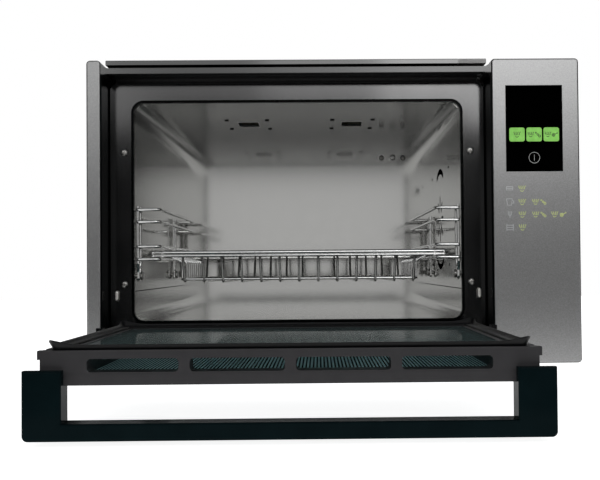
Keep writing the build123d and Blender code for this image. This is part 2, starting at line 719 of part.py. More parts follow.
# Front frame: a pressed face round the cavity's mouth
face_x = (recess_left + surround_wall + frame_side_gap, recess_right - surround_wall - frame_side_gap)
face_z = (base_z + pan_sheet, rail_z - frame_drop)
buffer_z = base_z + buffer_height
with BuildPart() as front_frame:
    with BuildSketch(front_plane(wall_y)) as section:
        rounded(section, face_x, face_z, frame_radius, 0)
    extrude(amount=frame_thickness)
    fillet(front_frame.faces().sort_by(Axis.Y)[0].edges().filter_by(Axis.Z), frame_sheet)
    with BuildSketch(front_plane(wall_y)) as section:
        rounded(section, (face_x[0] + frame_sheet, face_x[1] - frame_sheet),
                (face_z[0] + frame_sheet, face_z[1] - frame_sheet), frame_radius - frame_sheet, 0)
    extrude(amount=frame_thickness - frame_sheet, mode=Mode.SUBTRACT)
    block((face_x[0] + frame_radius, face_x[1] - frame_radius), (wall_y - frame_sheet, wall_y),
          (face_z[1] - frame_sheet, rail_z - screw_clearance))
    with BuildSketch(front_plane(wall_y)) as section:
        opening_section(section, frame_hole + frame_sheet)
    extrude(amount=frame_thickness)
    with BuildSketch(front_plane(wall_y)) as section:
        opening_section(section, frame_hole)
    extrude(amount=frame_thickness * 2, mode=Mode.SUBTRACT)
    for name, side in SIDES:
        for height in frame_screw_heights:
            x = centre_x + side * frame_screw_spread
            rod((x, face_y - sheet, base_z + height), (x, wall_y + sheet, base_z + height),
                screw_hole, Mode.SUBTRACT)
        with BuildSketch(front_plane(wall_y)):
            with Locations((centre_x + side * buffer_spread, buffer_z)):
                SlotOverall(buffer_size[1] + 2 * buffer_gap, buffer_size[0] + 2 * buffer_gap, rotation=90)
        extrude(amount=frame_thickness * 2, mode=Mode.SUBTRACT)
keep(front_frame, "front_frame")

with BuildPart() as opening_bead:
    with BuildSketch(front_plane(wall_y)) as section:
        opening_section(section, frame_hole)
    extrude(amount=frame_thickness + bead_proud)
    fillet(opening_bead.faces().sort_by(Axis.Y)[0].edges(), bead_edge)
    with BuildSketch(front_plane(wall_y)) as section:
        opening_section(section, -bead_lap)
    extrude(amount=frame_thickness * 2, mode=Mode.SUBTRACT)
keep(opening_bead, "opening_bead")

# Cavity: folded wrap, floor pan with its upstands, and back plate
with BuildPart() as cavity_wrap:
    with BuildSketch(front_plane(wall_y)) as section:
        cavity_section(section, sheet)
    extrude(amount=-cavity_depth)
    with BuildSketch(front_plane(wall_y)) as section:
        cavity_section(section, 0)
    extrude(amount=-cavity_depth, mode=Mode.SUBTRACT)
    split(bisect_by=Plane.XY.offset(seam_z), keep=Keep.TOP)
    vent_y = face_y + ceiling_vent_depth
    for name, side in SIDES:
        vent_x = centre_x + side * ceiling_vent_spread
        with Locations((vent_x, vent_y, ceiling_z)):
            Box(ceiling_vent_size[0], ceiling_vent_size[1], 4 * sheet, mode=Mode.SUBTRACT)
            with GridLocations(2 * tab_spread[0], 2 * tab_spread[1], 2, 2):
                Box(tab_slot[0], tab_slot[1], 4 * sheet, mode=Mode.SUBTRACT)
    with BuildSketch(Plane.YZ.offset(cavity_right - sheet)):
        with Locations((fan_y, fan_z)):
            with PolarLocations((intake_inner + intake_outer) / 2, intake_slots):
                SlotOverall(intake_outer - intake_inner, intake_slot_width)
            for angle in (90, 270):
                outlet = Edge.make_circle(outlet_radius, start_angle=angle - outlet_angle / 2,
                                          end_angle=angle + outlet_angle / 2)
                SlotArc(outlet, outlet_width)
            with GridLocations(2 * chamber_tab_spread[0], 2 * chamber_tab_spread[1], 2, 2):
                SlotOverall(tab_slot[0] * 2, tab_slot[1] * 2)
    extrude(amount=4 * sheet, mode=Mode.SUBTRACT)
keep(cavity_wrap, "cavity_wrap")

with BuildPart() as cavity_floor:
    with BuildSketch(front_plane(wall_y)) as section:
        cavity_section(section, sheet)
    extrude(amount=-cavity_depth)
    with BuildSketch(front_plane(wall_y)) as section:
        cavity_section(section, 0)
    extrude(amount=-cavity_depth, mode=Mode.SUBTRACT)
    split(bisect_by=Plane.XY.offset(seam_z), keep=Keep.BOTTOM)
keep(cavity_floor, "cavity_floor")

sensor_x = cavity_right - sensor_inset
sensor_z = ceiling_z - sensor_drop
sensor_screw_places = [(sensor_x + side * sensor_screw_spread, sensor_z) for name, side in SIDES]
with BuildPart() as cavity_back:
    with BuildSketch(front_plane(back_y)) as section:
        cavity_section(section, sheet)
        with Locations(*sensor_screw_places):
            Circle(screw_hole / 2, mode=Mode.SUBTRACT)
    extrude(amount=-sheet)
keep(cavity_back, "cavity_back")

with BuildPart() as temperature_sensor:
    with BuildSketch(front_plane(back_y)):
        with Locations((sensor_x, sensor_z)):
            SlotOverall(sensor_plate[0], sensor_plate[1])
        with Locations(*sensor_screw_places):
            Circle(screw_hole / 2, mode=Mode.SUBTRACT)
    extrude(amount=sensor_plate[2])
    rod((sensor_x, back_y, sensor_z), (sensor_x, back_y - sensor_tip_length, sensor_z), sensor_tip_diameter)
    fillet(temperature_sensor.faces().sort_by(Axis.Y)[0].edges(), sensor_tip_round)
keep(temperature_sensor, "temperature_sensor")

# Screws that show on the front frame and on the sensor's plate
cavity_screw_places = [(x, back_y - sensor_plate[2], z) for x, z in sensor_screw_places]
for name, side in SIDES:
    for height in frame_screw_heights:
        cavity_screw_places.append((centre_x + side * frame_screw_spread, face_y, base_z + height))
with BuildPart() as cavity_screws:
    for x, y, z in cavity_screw_places:
        rod((x, y - screw_head_height, z), (x, y, z), screw_head_diameter)
        rod((x, y, z), (x, y + cavity_screw_length, z), screw_diameter)
keep(cavity_screws, "cavity_screws")

# Ceiling vents: sheet boxes over the ceiling's openings, each with an outlet at its rear
for name, side in SIDES:
    vent_x = centre_x + side * ceiling_vent_spread
    vent_half = (tab_spread[0] + tab_slot[0], tab_spread[1] + tab_slot[1] * 2)
    vent_top = ceiling_z + sheet + ceiling_vent_height
    with BuildPart() as ceiling_vent:
        block((vent_x - vent_half[0], vent_x + vent_half[0]),
              (vent_y - vent_half[1], vent_y + vent_half[1]), (ceiling_z + sheet, vent_top))
        block((vent_x - vent_half[0] + sheet, vent_x + vent_half[0] - sheet),
              (vent_y - vent_half[1] + sheet, vent_y + vent_half[1] - sheet),
              (ceiling_z, vent_top - sheet), Mode.SUBTRACT)
        block((vent_x - ceiling_vent_size[0] / 2, vent_x + ceiling_vent_size[0] / 2),
              (vent_y + vent_half[1] - 2 * sheet, vent_y + vent_half[1] + sheet),
              (ceiling_z + ceiling_vent_outlet[0], ceiling_z + ceiling_vent_outlet[1]), Mode.SUBTRACT)
    keep(ceiling_vent, f"ceiling_vent_{name}")

# Insulation blankets over the ceiling and on the left wall
with BuildPart() as top_insulation:
    block((cavity_left + cavity_top_radius, cavity_right - cavity_top_radius),
          (wall_y + housing_depth, back_y - sheet), (ceiling_z + sheet, ceiling_z + sheet + insulation))
    for name, side in SIDES:
        vent_x = centre_x + side * ceiling_vent_spread
        block((vent_x - vent_half[0] - sheet, vent_x + vent_half[0] + sheet),
              (vent_y - vent_half[1] - sheet, vent_y + vent_half[1] + sheet),
              (ceiling_z, ceiling_z + 2 * insulation), Mode.SUBTRACT)
    fillet(top_insulation.edges().group_by(Axis.Z)[-1].filter_by(Axis.Y).sort_by(Axis.X)[0],
           insulation_round)
keep(top_insulation, "top_insulation")

with BuildPart() as side_insulation:
    block((cavity_left - sheet - insulation, cavity_left - sheet),
          (wall_y + housing_depth + insulation_gap, back_y - sheet), (seam_z, ceiling_z - cavity_top_radius))
    fillet(side_insulation.faces().sort_by(Axis.X)[0].edges(), insulation_round)
keep(side_insulation, "side_insulation")

# Fan chamber on the outside of the right wall, open towards the cavity
chamber_x = (cavity_right + sheet, cavity_right + sheet + chamber_depth)
chamber_half = chamber_size / 2
heater_ends = [radians(270 - (360 - heater_arc) / 2), radians(270 + (360 - heater_arc) / 2)]
heater_leg_places = [(fan_y + heater_radius * cos(a), fan_z + heater_radius * sin(a)) for a in heater_ends]
with BuildPart() as fan_chamber:
    block(chamber_x, (fan_y - chamber_half, fan_y + chamber_half),
          (fan_z - chamber_half, fan_z + chamber_half))
    fillet(fan_chamber.edges().filter_by(Axis.X), cavity_top_radius)
    with BuildSketch(Plane.YZ.offset(chamber_x[0])):
        with Locations((fan_y, fan_z)):
            RectangleRounded(chamber_size - 2 * sheet, chamber_size - 2 * sheet, cavity_top_radius - sheet)
    extrude(amount=chamber_depth - sheet, mode=Mode.SUBTRACT)
    rod((chamber_x[1] - 4 * sheet, fan_y, fan_z), (chamber_x[1] + 4 * sheet, fan_y, fan_z),
        shaft_diameter * 2, Mode.SUBTRACT)
    for y, z in heater_leg_places:
        rod((chamber_x[1] - 4 * sheet, y, z), (chamber_x[1] + 4 * sheet, y, z),
            heater_diameter + 2 * screw_clearance, Mode.SUBTRACT)
keep(fan_chamber, "fan_chamber")

heater_x = cavity_right + sheet + heater_standoff
with BuildPart() as ring_heater:
    across = (0, cos(heater_ends[1]), sin(heater_ends[1]))
    along = (0, -sin(heater_ends[1]), cos(heater_ends[1]))
    with BuildSketch(Plane(origin=(heater_x, fan_y, fan_z), x_dir=across, z_dir=along)):
        with Locations((heater_radius, 0)):
            Circle(heater_diameter / 2)
    revolve(axis=Axis((heater_x, fan_y, fan_z), (1, 0, 0)), revolution_arc=heater_arc)
    for y, z in heater_leg_places:
        with Locations((heater_x, y, z)):
            Sphere(heater_diameter / 2)
        rod((heater_x, y, z), (heater_x + heater_leg, y, z), heater_diameter)
keep(ring_heater, "ring_heater")

# Fan motor: bracket on the chamber, stator with two bearing plates, rotor on the fan's shaft
stator_x = (chamber_x[1] + motor_gap, chamber_x[1] + motor_gap + motor_length)
motor_half = motor_size / 2
bracket_y = (fan_y - bracket_width / 2, fan_y + bracket_width / 2)
with BuildPart() as motor_bracket:
    block((stator_x[0] - bracket_thickness, stator_x[0]), bracket_y,
          (fan_z - bracket_length / 2, fan_z + bracket_length / 2))
    for side in (-1, 1):
        foot_z = fan_z + side * bracket_length / 2
        block((chamber_x[1], stator_x[0]), bracket_y, (foot_z - side * bracket_thickness, foot_z))
        block((chamber_x[1], chamber_x[1] + bracket_thickness), bracket_y,
              (foot_z, foot_z + side * bracket_foot))
    rod((chamber_x[1], fan_y, fan_z), (stator_x[1], fan_y, fan_z), shaft_diameter + 2 * running_clearance,
        Mode.SUBTRACT)
keep(motor_bracket, "motor_bracket")

with BuildPart() as fan_motor:
    block(stator_x, (fan_y - motor_half, fan_y + motor_half), (fan_z - motor_half, fan_z + motor_top))
    fillet(fan_motor.edges().filter_by(Axis.X), corner_radius)
    rod((stator_x[0], fan_y, fan_z), (stator_x[1], fan_y, fan_z),
        rotor_diameter + 2 * rotor_gap, Mode.SUBTRACT)
    block((stator_x[0] + corner_radius, stator_x[1] - corner_radius),
          (fan_y - coil_width / 2, fan_y + coil_width / 2),
          (fan_z - motor_half - coil_drop, fan_z - motor_half + corner_radius))
    block((stator_x[1], stator_x[1] + bracket_thickness), bracket_y,
          (fan_z - bearing_plate / 2, fan_z + bearing_plate / 2))
    rod((stator_x[1] - sheet, fan_y, fan_z), (stator_x[1] + motor_gap, fan_y, fan_z),
        shaft_diameter + 2 * running_clearance, Mode.SUBTRACT)
keep(fan_motor, "fan_motor")

impeller_x = cavity_right + sheet + impeller_standoff
with BuildPart() as fan_shaft:
    rod((impeller_x, fan_y, fan_z), (stator_x[1] + bracket_thickness * 2, fan_y, fan_z), shaft_diameter)
    rotor_x = sum(stator_x) / 2
    rod((rotor_x - rotor_length / 2, fan_y, fan_z), (rotor_x + rotor_length / 2, fan_y, fan_z),
        rotor_diameter)
keep(fan_shaft, "fan_shaft")

with BuildPart() as fan_impeller:
    plate_x = impeller_x + impeller_width
    rod((plate_x - impeller_plate, fan_y, fan_z), (plate_x, fan_y, fan_z), impeller_diameter)
    with Locations(Plane(origin=(impeller_x + impeller_width / 2, fan_y, fan_z), z_dir=(1, 0, 0))):
        with PolarLocations(impeller_diameter / 4, impeller_blades):
            Box(impeller_diameter / 2 - 2 * impeller_plate, impeller_plate, impeller_width)
    rod((impeller_x, fan_y, fan_z), (plate_x, fan_y, fan_z), hub_diameter)
    rod((impeller_x, fan_y, fan_z), (plate_x, fan_y, fan_z), shaft_diameter, Mode.SUBTRACT)
keep(fan_impeller, "fan_impeller")

with BuildPart() as thermal_cutout:
    cutout_y = fan_y - cutout_offset
    cutout_z = fan_z + cutout_offset
    cutout_x = chamber_x[1] + cutout_height
    rod((chamber_x[1], cutout_y, cutout_z), (cutout_x, cutout_y, cutout_z), cutout_diameter)
    for side in (-1, 1):
        with Locations((cutout_x, cutout_y, cutout_z + side * cutout_tab_spread)):
            Box(2 * cutout_tab[2], cutout_tab[0], cutout_tab[1])
keep(thermal_cutout, "thermal_cutout")

# Wire ladders: runners bent out to hairpin posts, hung on screws in the walls
hairpin_y = (face_y + ladder_front, face_y + ladder_rear)
wide = hairpin_width / 2
narrow = hairpin_neck / 2
foot_wire_z = base_z + hairpin_foot
neck_z = foot_wire_z + hairpin_neck
runner_y = (hairpin_y[0] - wide - ladder_wire + weld, hairpin_y[1] + wide + ladder_wire - weld)
hang_z = foot_wire_z + (ladder_wire + ladder_screw_diameter) / 2 + basket_lift
for name, side in SIDES:
    wall_x = centre_x + side * cavity_width / 2
    post_x = wall_x - side * (ladder_wall_gap + ladder_wire / 2)
    runner_x = wall_x - side * runner_inset
    end_x = post_x + side * ladder_wall_gap / 2
    ladder_wires = []
    for height in runner_heights:
        z = base_z + height
        ladder_wires.append(bent_wire([(end_x, runner_y[0], z), (runner_x, runner_y[0], z),
                                       (runner_x, runner_y[1], z), (end_x, runner_y[1], z)],
                                      ladder_wire, ladder_bend))
    for y in hairpin_y:
        ladder_wires.append(bent_wire([(post_x, y - wide, base_z + hairpin_top),
                                       (post_x, y - wide, base_z + hairpin_shoulder),
                                       (post_x, y - narrow, neck_z),
                                       (post_x, y - narrow, foot_wire_z),
                                       (post_x, y + narrow, foot_wire_z),
                                       (post_x, y + narrow, neck_z),
                                       (post_x, y + wide, base_z + hairpin_shoulder),
                                       (post_x, y + wide, base_z + hairpin_top)],
                                      ladder_wire, hairpin_bend))
    with BuildPart() as ladder:
        add(ladder_wires)
    keep(ladder, f"{name}_ladder")

with BuildPart() as ladder_screws:
    for name, side in SIDES:
        wall_x = centre_x + side * cavity_width / 2
        head_x = wall_x - side * (ladder_wall_gap + ladder_wire + basket_lift)
        for y in hairpin_y:
            rod((wall_x, y, hang_z), (head_x, y, hang_z), ladder_screw_diameter)
            rod((head_x, y, hang_z), (head_x - side * screw_head_height, y, hang_z), ladder_screw_head)
keep(ladder_screws, "ladder_screws")

# Wire basket: two rims, the lower one on the runners, and wires down the front, the back and the sides
rest_z = base_z + runner_heights[0] + (ladder_wire + basket_wire) / 2 + basket_lift
rim_z = rest_z + (basket_wire + rim_wire) / 2 - weld
basket_floor_z = rim_z - basket_drop
cross_z = basket_floor_z + basket_wire - weld
rim_x = (centre_x - rim_width / 2, centre_x + rim_width / 2)
rim_y = (face_y + rim_front, face_y + rim_front + rim_length)
base_x = (centre_x - base_width / 2, centre_x + base_width / 2)
base_y = (rim_y[0] + base_inset, rim_y[1] - base_inset)


def loop(x, y, z):
    """Corners of a level rectangle."""
    return [(x[0], y[0], z), (x[1], y[0], z), (x[1], y[1], z), (x[0], y[1], z)]


basket_wires = [
    bent_wire(loop(rim_x, rim_y, rim_z), rim_wire, rim_corner, close=True),
    bent_wire(loop(rim_x, rim_y, rest_z), basket_wire, rim_corner, close=True),
    bent_wire(loop(base_x, base_y, cross_z), basket_wire, rim_corner, close=True),
]
for step in range(long_wires):
    x = centre_x + (step - (long_wires - 1) / 2) * long_pitch
    basket_wires.append(bent_wire([(x, rim_y[0] + weld, rim_z - weld), (x, base_y[0], basket_floor_z),
                                   (x, base_y[1], basket_floor_z), (x, rim_y[1] - weld, rim_z - weld)],
                                  basket_wire, basket_bend))
side_pitch = (rim_length - 2 * base_inset - 2 * rim_corner) / (side_wires - 1)
for step in range(side_wires):
    y = base_y[0] + rim_corner + step * side_pitch
    for side in (-1, 1):
        edge_x = centre_x + side * rim_width / 2
        foot_x = centre_x + side * base_width / 2
        basket_wires.append(bent_wire([(edge_x, y, rest_z), (edge_x - side * rest_span, y, rest_z),
                                       (foot_x, y, rest_z - knee_drop), (foot_x, y, cross_z)],
                                      side_wire, basket_bend))
floor_half = ((long_wires - 1) * long_pitch + basket_wire) / 2
for step in range(floor_wires):
    y = base_y[0] + (step + 1) * (base_y[1] - base_y[0]) / (floor_wires + 1)
    with BuildPart() as floor_wire:
        rod((centre_x - floor_half, y, cross_z), (centre_x + floor_half, y, cross_z), basket_wire)
    basket_wires.append(floor_wire.part)
with BuildPart() as wire_basket:
    add(basket_wires)
keep(wire_basket, "wire_basket")

# Door, drawn open: the outer glass below, the frame over it, the inner glass in the frame's rebate


def reach_y(reach):
    """Place on Y of a point on the open door, from its reach beyond the hinge axis."""
    return hinge_y - reach


outer_glass_x = (centre_x - outer_glass_width / 2, centre_x + outer_glass_width / 2)
with BuildPart() as door_outer_glass:
    block(outer_glass_x, (reach_y(door_reach - glass_lip), reach_y(-door_heel)),
          (outer_z, outer_z + outer_glass))
    fillet(door_outer_glass.edges().filter_by(Axis.Z), corner_radius)
keep(door_outer_glass, "door_outer_glass")

door_x = (centre_x - door_frame_width / 2, centre_x + door_frame_width / 2)
edge_y = reach_y(door_reach)
window_x = (door_x[0] + window_rail, door_x[1] - window_rail)
window_y = (reach_y(door_reach - window_head), reach_y(window_heel - door_heel))
rebate_x = (window_x[0] - glass_rebate, window_x[1] + glass_rebate)
rebate_y = (window_y[0] - glass_rebate, window_y[1] + glass_rebate)
rebate_z = inner_z - inner_glass - glass_clearance
handle_x = outer_glass_x
handle_screw_x = (handle_x[0] + handle_screw_inset, handle_x[1] - handle_screw_inset)
handle_screw_z = outer_z + handle_screw_rise
screw_seat_y = edge_y + handle_screw_grip
with BuildPart() as door_frame:
    block(door_x, (edge_y, reach_y(-door_heel)), (outer_z + outer_glass, inner_z))
    block(door_x, (edge_y, edge_y + glass_lip), (outer_z, outer_z + outer_glass))
    for x, side in ((door_x[0], -1), (door_x[1], 1)):
        block((x, x + side * lug), (edge_y, edge_y + glass_lip), (inner_z - lug_height, inner_z))
    fillet(door_frame.edges().group_by(Axis.Z)[-1], strip_step)
    block(door_x, (edge_y, edge_y + strip_step), (outer_z, outer_z + strip_step_rise), Mode.SUBTRACT)
    block(window_x, window_y, (outer_z, inner_z), Mode.SUBTRACT)
    block(rebate_x, rebate_y, (rebate_z, inner_z), Mode.SUBTRACT)
    with BuildSketch(front_plane(edge_y)):
        vent_rise = sum(edge_vent_rise) / 2
        vent_height = edge_vent_rise[1] - edge_vent_rise[0]
        for side in (-1, 1):
            vent_start = edge_vent_gap / 2
            for length in edge_vents:
                with Locations((centre_x + side * (vent_start + length / 2), outer_z + vent_rise)):
                    RectangleRounded(length, vent_height, edge_vent_radius)
                vent_start += length + edge_vent_gap
    extrude(amount=-(window_head + sheet), mode=Mode.SUBTRACT)
    for x in handle_screw_x:
        rod((x, edge_y - sheet, handle_screw_z), (x, screw_seat_y + sheet, handle_screw_z),
            screw_hole, Mode.SUBTRACT)
        block((x - handle_pocket[0] / 2, x + handle_pocket[0] / 2),
              (screw_seat_y, screw_seat_y + handle_pocket[1]), (outer_z + outer_glass, inner_z),
              Mode.SUBTRACT)
keep(door_frame, "door_frame")

with BuildPart() as door_inner_glass:
    block((rebate_x[0] + glass_clearance, rebate_x[1] - glass_clearance),
          (rebate_y[0] + glass_clearance, rebate_y[1] - glass_clearance), (rebate_z, rebate_z + inner_glass))
keep(door_inner_glass, "door_inner_glass")

# Door gasket: a flared lip round the inner glass, higher at its four corners
gasket_x = (door_x[0] + gasket_side_inset, door_x[1] - gasket_side_inset)
gasket_y = (edge_y + gasket_head_inset, reach_y(gasket_heel))
gasket_top = inner_z + gasket_height


def gasket_outline(sketch, grow, radius):
    """Draws the gasket's outer edge in the open sketch, grown outwards by grow."""
    rounded(sketch, (gasket_x[0] - grow, gasket_x[1] + grow), (gasket_y[0] - grow, gasket_y[1] + grow),
            radius, radius)


with BuildPart() as door_gasket:
    with BuildSketch(Plane.XY.offset(inner_z)) as foot_outline:
        gasket_outline(foot_outline, 0, gasket_radius)
    with BuildSketch(Plane.XY.offset(gasket_top)) as lip_outline:
        gasket_outline(lip_outline, gasket_flare, gasket_radius + gasket_flare)
    loft()
    with BuildSketch(Plane.XY.offset(inner_z)) as foot_outline:
        gasket_outline(foot_outline, -gasket_width, gasket_radius - gasket_width / 2)
    with BuildSketch(Plane.XY.offset(gasket_top)) as lip_outline:
        gasket_outline(lip_outline, gasket_flare - gasket_lip, gasket_radius + gasket_flare - gasket_lip)
    loft(mode=Mode.SUBTRACT)
    dip = gasket_height - gasket_middle
    for plane, span in ((front_plane(0), gasket_x), (Plane.YZ, gasket_y)):
        with BuildSketch(plane):
            with BuildLine():
                Polyline((span[0] + gasket_ear, gasket_top),
                         (span[0] + gasket_ear + 2 * dip, inner_z + gasket_middle),
                         (span[1] - gasket_ear - 2 * dip, inner_z + gasket_middle),
                         (span[1] - gasket_ear, gasket_top), close=True)
            make_face()
        extrude(amount=body_width, both=True, mode=Mode.SUBTRACT)
keep(door_gasket, "door_gasket")

# Handle: a flat bar on two legs that wrap over the door's free edge
handle_y = (edge_y - handle_lap, edge_y - handle_lap + handle_depth)
bar_z = (outer_z - handle_projection, outer_z - handle_projection + handle_bar)
with BuildPart() as door_handle:
    with BuildSketch(front_plane(handle_y[1])) as section:
        rounded(section, handle_x, (bar_z[0], outer_z), 0, handle_radius)
        with Locations((centre_x, (bar_z[1] + outer_z) / 2)):
            Rectangle(handle_x[1] - handle_x[0] - 2 * handle_leg, outer_z - bar_z[1], mode=Mode.SUBTRACT)
    extrude(amount=handle_depth)
    for x, side in ((handle_x[0], 1), (handle_x[1], -1)):
        block((x, x + side * handle_leg), (handle_y[0], edge_y), (outer_z, outer_z + handle_wrap))
    fillet(door_handle.faces().sort_by(Axis.Y)[0].edges(), handle_edge)
    for x in handle_screw_x:
        rod((x, edge_y - handle_screw_bite - screw_clearance, handle_screw_z),
            (x, edge_y + sheet, handle_screw_z), screw_hole, Mode.SUBTRACT)
keep(door_handle, "door_handle")

with BuildPart() as handle_screws:
    for x in handle_screw_x:
        rod((x, edge_y - handle_screw_bite, handle_screw_z), (x, screw_seat_y, handle_screw_z),
            screw_diameter)
        rod((x, screw_seat_y, handle_screw_z), (x, screw_seat_y + screw_head_height, handle_screw_z),
            screw_head_diameter)
keep(handle_screws, "handle_screws")

# Hinges: an arm on each side of the door, with a keeper that meets the buffer pin, and a fixed pin
arm_z = (outer_z + outer_glass + glass_clearance, outer_z + outer_glass + glass_clearance + arm_height)
keeper_reach = buffer_height - hinge_height
keeper_top = outer_z + recess_depth - buffer_proud - keeper_clearance
for name, side in SIDES:
    door_side = centre_x + side * door_frame_width / 2
    arm_face = door_side + side * arm_thickness
    recess_wall = centre_x + side * ((recess_right - recess_left) / 2 - surround_wall)
    with BuildPart() as hinge_arm:
        block((door_side, arm_face), (reach_y(arm_length), reach_y(-arm_heel)), arm_z)
        fillet(hinge_arm.edges().filter_by(Axis.X), arm_radius)
        block((arm_face, arm_face + side * keeper_width),
              (reach_y(keeper_reach + keeper_length / 2), reach_y(keeper_reach - keeper_length / 2)),
              (arm_z[0] + arm_height / 2, keeper_top))
        rod((door_side - side, hinge_y, hinge_z), (arm_face + side, hinge_y, hinge_z),
            pin_diameter + 2 * running_clearance, Mode.SUBTRACT)
    keep(hinge_arm, f"hinge_arm_{name}")
    with BuildPart() as hinge_pin:
        rod((door_side + side * pin_gap, hinge_y, hinge_z), (recess_wall, hinge_y, hinge_z), pin_diameter)
        rod((arm_face + side * pin_gap, hinge_y, hinge_z), (recess_wall, hinge_y, hinge_z), pin_shoulder)
        tail_x = recess_wall + side * (surround_wall + 1.5 * shell)
        rod((recess_wall, hinge_y, hinge_z), (tail_x, hinge_y, hinge_z), pin_tail)
    keep(hinge_pin, f"hinge_pin_{name}")

# Buffer pins and their housings behind the front frame's face
buffer_y = face_y + frame_sheet
collar_width = buffer_size[0] + 2 * buffer_collar
collar_height = buffer_size[1] + 2 * buffer_collar
for name, side in SIDES:
    buffer_x = centre_x + side * buffer_spread
    with BuildPart() as buffer_pin:
        with BuildSketch(front_plane(buffer_y + buffer_tail)):
            with Locations((buffer_x, buffer_z)):
                SlotOverall(buffer_size[1], buffer_size[0], rotation=90)
        extrude(amount=buffer_tail + frame_sheet + buffer_proud)
        fillet(buffer_pin.faces().sort_by(Axis.Y)[0].edges(), buffer_round)
        with BuildSketch(front_plane(buffer_y + buffer_gap + buffer_collar_length)):
            with Locations((buffer_x, buffer_z)):
                SlotOverall(collar_height, collar_width, rotation=90)
        extrude(amount=buffer_collar_length)
    keep(buffer_pin, f"buffer_pin_{name}")
    with BuildPart() as buffer_housing:
        with BuildSketch(front_plane(buffer_y + housing_depth)):
            with Locations((buffer_x, buffer_z)):
                SlotOverall(collar_height + 2 * (buffer_gap + housing_wall),
                            collar_width + 2 * (buffer_gap + housing_wall), rotation=90)
        extrude(amount=housing_depth)
        with BuildSketch(front_plane(buffer_y + housing_depth - housing_wall)):
            with Locations((buffer_x, buffer_z)):
                SlotOverall(collar_height + 2 * buffer_gap, collar_width + 2 * buffer_gap, rotation=90)
        extrude(amount=housing_depth, mode=Mode.SUBTRACT)
    keep(buffer_housing, f"buffer_housing_{name}")

# Feet: tapered rubber, each held by a screw up through its middle
for name, (x, y) in foot_places.items():
    with BuildPart() as foot:
        with Locations((x, y, 0)):
            Cone(foot_bottom_diameter / 2, foot_top_diameter / 2, foot_height,
                 align=(Align.CENTER, Align.CENTER, Align.MIN))
        chamfer(foot.edges().sort_by(Axis.Z)[0], foot_chamfer)
        rod((x, y, -sheet), (x, y, foot_screw_seat), foot_screw_head + 2 * buffer_gap, Mode.SUBTRACT)
        rod((x, y, 0), (x, y, foot_height + sheet), foot_screw_diameter + 2 * screw_clearance,
            Mode.SUBTRACT)
    keep(foot, f"foot_{name}")

with BuildPart() as foot_screws:
    for x, y in foot_places.values():
        rod((x, y, foot_screw_seat - screw_head_height), (x, y, foot_screw_seat), foot_screw_head)
        rod((x, y, foot_screw_seat), (x, y, base_z + 3 * pan_sheet), foot_screw_diameter)
keep(foot_screws, "foot_screws")
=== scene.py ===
import json
from math import cos, pi, radians, sin

import bmesh
import bpy
from mathutils import Matrix, Vector


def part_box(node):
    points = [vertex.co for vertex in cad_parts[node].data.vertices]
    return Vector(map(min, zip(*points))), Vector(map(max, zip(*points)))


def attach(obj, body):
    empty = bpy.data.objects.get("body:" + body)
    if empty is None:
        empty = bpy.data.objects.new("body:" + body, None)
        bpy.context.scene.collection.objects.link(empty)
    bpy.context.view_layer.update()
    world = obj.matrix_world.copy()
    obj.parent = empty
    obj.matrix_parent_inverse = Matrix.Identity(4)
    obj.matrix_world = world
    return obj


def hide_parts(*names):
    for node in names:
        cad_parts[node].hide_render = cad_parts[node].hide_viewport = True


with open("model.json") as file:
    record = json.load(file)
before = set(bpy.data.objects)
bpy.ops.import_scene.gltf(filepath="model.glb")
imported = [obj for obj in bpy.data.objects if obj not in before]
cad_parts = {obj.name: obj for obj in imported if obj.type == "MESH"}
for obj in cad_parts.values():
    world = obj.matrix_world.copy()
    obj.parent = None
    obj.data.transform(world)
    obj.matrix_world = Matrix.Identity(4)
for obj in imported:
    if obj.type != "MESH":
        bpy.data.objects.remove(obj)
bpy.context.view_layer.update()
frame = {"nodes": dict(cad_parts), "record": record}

scene = bpy.context.scene

# Places of the part in millimetres, in the frame's axes
MM = 0.001
CENTRE_X = -38.85  # middle of the oven's mouth
FRONT_Y = -68.8  # face of the silver plates
GLASS_Y = -69.1  # face of the touch glass
FACE_Y = -33.3  # face of the black front frame
WALL_Y = -29.3  # front edge of the cavity's walls
BACK_Y = 302.7  # cavity's back wall
REAR_Y = 336.2  # rear panel
PANEL_BASE = 33.0  # bottom of the control panel
SEAM_Z = 110.9  # top edge of the cavity's floor pan
CEILING_Z = 318.2  # cavity's ceiling
WALL_REACH = 180.25  # middle of the mouth to the cavity's side walls
RAIL_Z = 341.0  # top rail's lower edge
PANE_Z = (47.0, 50.5)  # just inside the outer pane's two faces, with the door open
GASKET_INSET = 3.0  # gasket's outer edge to the lip's

# M4 pan head screws, and the places of the plain CAD screws that they stand for
SCREW_HEAD = 7.5
SCREW_RISE = 2.0
SCREW_SHANK = 4.0
FRONT_SCREW_LENGTH = 9.0
REAR_SCREW_LENGTH = 4.8
FRAME_SCREW_REACH = 188.5  # middle of the mouth to the frame's screws
FRAME_SCREW_HEIGHTS = (118.6, 261.9)
SENSOR_X, SENSOR_Z = 90.6, 293.5
SENSOR_PLATE = 1.5
SENSOR_SCREW_REACH = 15.5
REAR_LOW_Z, REAR_HIGH_Z = 46.2, 343.0
REAR_LOW_X = (-219.0, CENTRE_X - 60.0, CENTRE_X + 60.0, 179.0)
REAR_HIGH_X = (CENTRE_X - 150.0, CENTRE_X + 150.0)

# Marks inside the cavity
SEAM_SIZE = (0.2, BACK_Y - WALL_Y, 0.9)
VENT_REACH = 65.3  # middle of the mouth to the ceiling vents
TAB_REACH = 25.0  # vent's middle to its tabs
TAB_ROWS_Y = (104.2, 175.2)
TAB_SIZE = (5.0, 1.2, 2.4)

